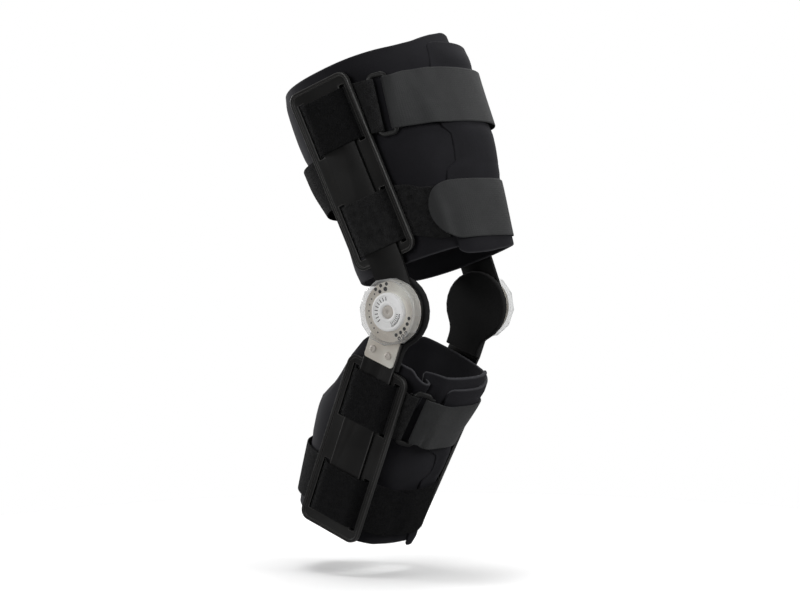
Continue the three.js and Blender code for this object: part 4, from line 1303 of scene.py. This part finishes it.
def hingePlateSeed(name, h):  # a disc with a tab
    width, end, r = h["tab"]
    half, radius = width / 2, h["plateRadius"]
    low = math.degrees(math.asin(half / radius)) - 90
    outline = [polar(radius, a) for a in evenly(low, 180 - low, h["discSteps"])]
    for cx, start in ((r - half, 180), (half - r, 270)):
        corner = [polar(r, a) for a in evenly(start, start + 90, h["tabSteps"])]
        outline += [(cx + x, r - end + z) for x, z in corner]
    holes = [(0, 0, h["pivotHole"])] + [(x, z, h["screwHole"]) for x, z in h["screws"].values()]
    for distance, first, step, count in h["stops"]:
        holes += [(*polar(distance, first + k * step), h["stopHole"]) for k in range(count)]
    return holedSeed(name, outline, holes)


def stopRingSeed(name, h, d):  # a flat ring round the hub
    outside, inside, _, _ = d["ring"]
    return holedSeed(name, [polar(outside, a) for a in evenly(0, 360, h["discSteps"])[:-1]], [(0, 0, inside)])


def standUp(mesh, place):  # from a flat drawing to its place on the hinge
    for vertex in mesh.vertices:
        vertex.co = place(*(vertex.co / mm)) * mm
    faceOutwards(mesh)
    mesh.set_sharp_from_angle(angle=math.radians(sharpFrom))


def arcMarks(side, arc, height):  # marks on a circle round the hinge axis: point, rotation, size
    radius, first, step, count, size = arc
    place = hingePlace(side)
    out = place(0, 0, 1)
    marks = []
    for k in range(count):
        angle = first + k * step
        radial = place(*polar(1, angle), 0)
        turn = Matrix((radial, out.cross(radial), out)).transposed().to_quaternion()
        marks.append((place(*polar(radius, angle), height), turn, size))
    return marks


def markPiece(name, tree, look, arcs, height):  # a shape on each mark, on both sides
    marks = [mark for side in sides for arc in arcs for mark in arcMarks(side, arc, height)]
    mesh = bpy.data.meshes.new(name + "Seed")
    mesh.from_pydata([point * mm for point, _, _ in marks], [], [])
    for key, kind in (("aim", "QUATERNION"), ("size", "FLOAT_VECTOR")):
        mesh.attributes.new(key, kind, "POINT")
    aim, size = mesh.attributes["aim"], mesh.attributes["size"]  # found again, as the second moves the first
    for k, (_, turn, scale) in enumerate(marks):
        aim.data[k].value = turn
        size.data[k].vector = [c * mm for c in scale]
    linkPiece(name, grow(name, mesh, tree, look), look, "calf")


def numberMesh(name, d, height):  # the dial's numbers on both sides, as one mesh
    bm = bmesh.new()
    _, first, step, _, _ = d["scale"]
    for side in sides:
        place, way = hingePlace(side), 1 if side == "lateral" else -1
        for k, label in enumerate(d["numbers"]):
            angle = first + k * step
            px, pz = polar(d["numberRadius"], angle)
            c, s = polar(1, angle - 90)
            curve = bpy.data.curves.new("numberText", "FONT")
            curve.body, curve.size, curve.extrude = label, d["numberSize"] * mm, d["numberThick"] * mm
            curve.offset, curve.resolution_u = d["numberBold"] * mm, 2
            curve.align_x, curve.align_y = "CENTER", "CENTER"
            glyph = plainMesh(sceneObject("numberText", curve))
            for vertex in glyph.vertices:
                x, y, z = vertex.co / mm
                x *= way
                vertex.co = place(px + x * c - y * s, pz + x * s + y * c, height + z) * mm
            bm.from_mesh(glyph)
    mesh = bpy.data.meshes.new(name)
    bm.to_mesh(mesh)
    bm.free()
    faceOutwards(mesh)
    return mesh


def dressHinge(side, h, d):
    cap, place = side.capitalize(), hingePlace(side)

    def raised(inner, x0=0, z0=0):
        return lambda x, z, height: place(x0 + x, z0 + z, inner + height)

    hub = turnedMesh("hubShape" + cap, hubRows(h), h["hubSteps"], raised(h["dialInner"]))
    linkPiece("dialHub" + cap, hub, "frosted", "calf", "dial_hub_" + side)
    pivot = turnedMesh("pivotShape" + cap, pivotRows(h), h["pivotSteps"], raised(h["barInner"]))
    linkPiece("pivot" + cap, pivot, "rivet", "calf", "pivot_" + side)
    for where, (x, z) in h["screws"].items():
        screw = turnedMesh("screwShape" + where + cap, screwRows(h), h["screwSteps"], raised(h["barInner"], x, z))
        linkPiece("tabScrew" + where.capitalize() + cap, screw, "rivet", "calf", f"tab_screw_{where}_{side}")
    linkPiece("dialCover" + cap, solidCopy("dial_cover_" + side, "cover"), "clear", "calf", "dial_cover_" + side)
    seed, thick = hingePlateSeed("plateSeed" + cap, h), h["steelThick"] * mm
    plate = grow("hingePlate" + cap, seed, "perforated", "steel", Thickness=thick)
    standUp(plate, raised(h["steelInner"]))
    linkPiece("hingePlate" + cap, plate, "steel", "calf", "hinge_plate_" + side)
    _, _, height, thick = d["ring"]
    ring = grow(
        "stopRing" + cap, stopRingSeed("ringSeed" + cap, h, d), "perforated", "steel",
        Thickness=thick * mm, HoleSteps=h["ringSteps"],
    )
    standUp(ring, raised(h["dialInner"] + height))
    linkPiece("stopRing" + cap, ring, "steel", "calf")
    pad = linkPiece("hingePad" + cap, solidCopy("hinge_pad_" + side, "pad"), "pad", "calf", "hinge_pad_" + side)
    for pin in ("extension", "flexion"):
        node = f"{pin}_pin_{side}"
        linkPiece(pin + "Pin" + cap, solidCopy(node, "pin"), "pin", "calf", node)


for side in sides:
    dressHinge(side, hinge, dial)
face = hinge["dialInner"] + hinge["dialHeight"] - dial["faceDrop"]
ringFace = hinge["dialInner"] + dial["ring"][2] + dial["ring"][3]
stopArcs = [(*arc, dial["stop"]) for arc in dial["stops"]]
markPiece("dialTicks", "bars", "ink", [dial["ticks"], dial["scale"]], face)
markPiece("stopDots", "discs", "pin", stopArcs + [dial["pin"]], ringFace)
markPiece("ringDots", "discs", "ink", [dial["dots"]], ringFace)
markPiece("stopCores", "discs", "rivet", [(*dial["stops"][-1], dial["core"])], ringFace)
linkPiece("dialNumbers", numberMesh("dialNumberShape", dial, face + dial["numberLift"]), "ink", "calf")
print("hinges: hubs, covers, perforated plates, pads, pivots, screws, pins, ticks and numbers")


# end

print("scene: done")
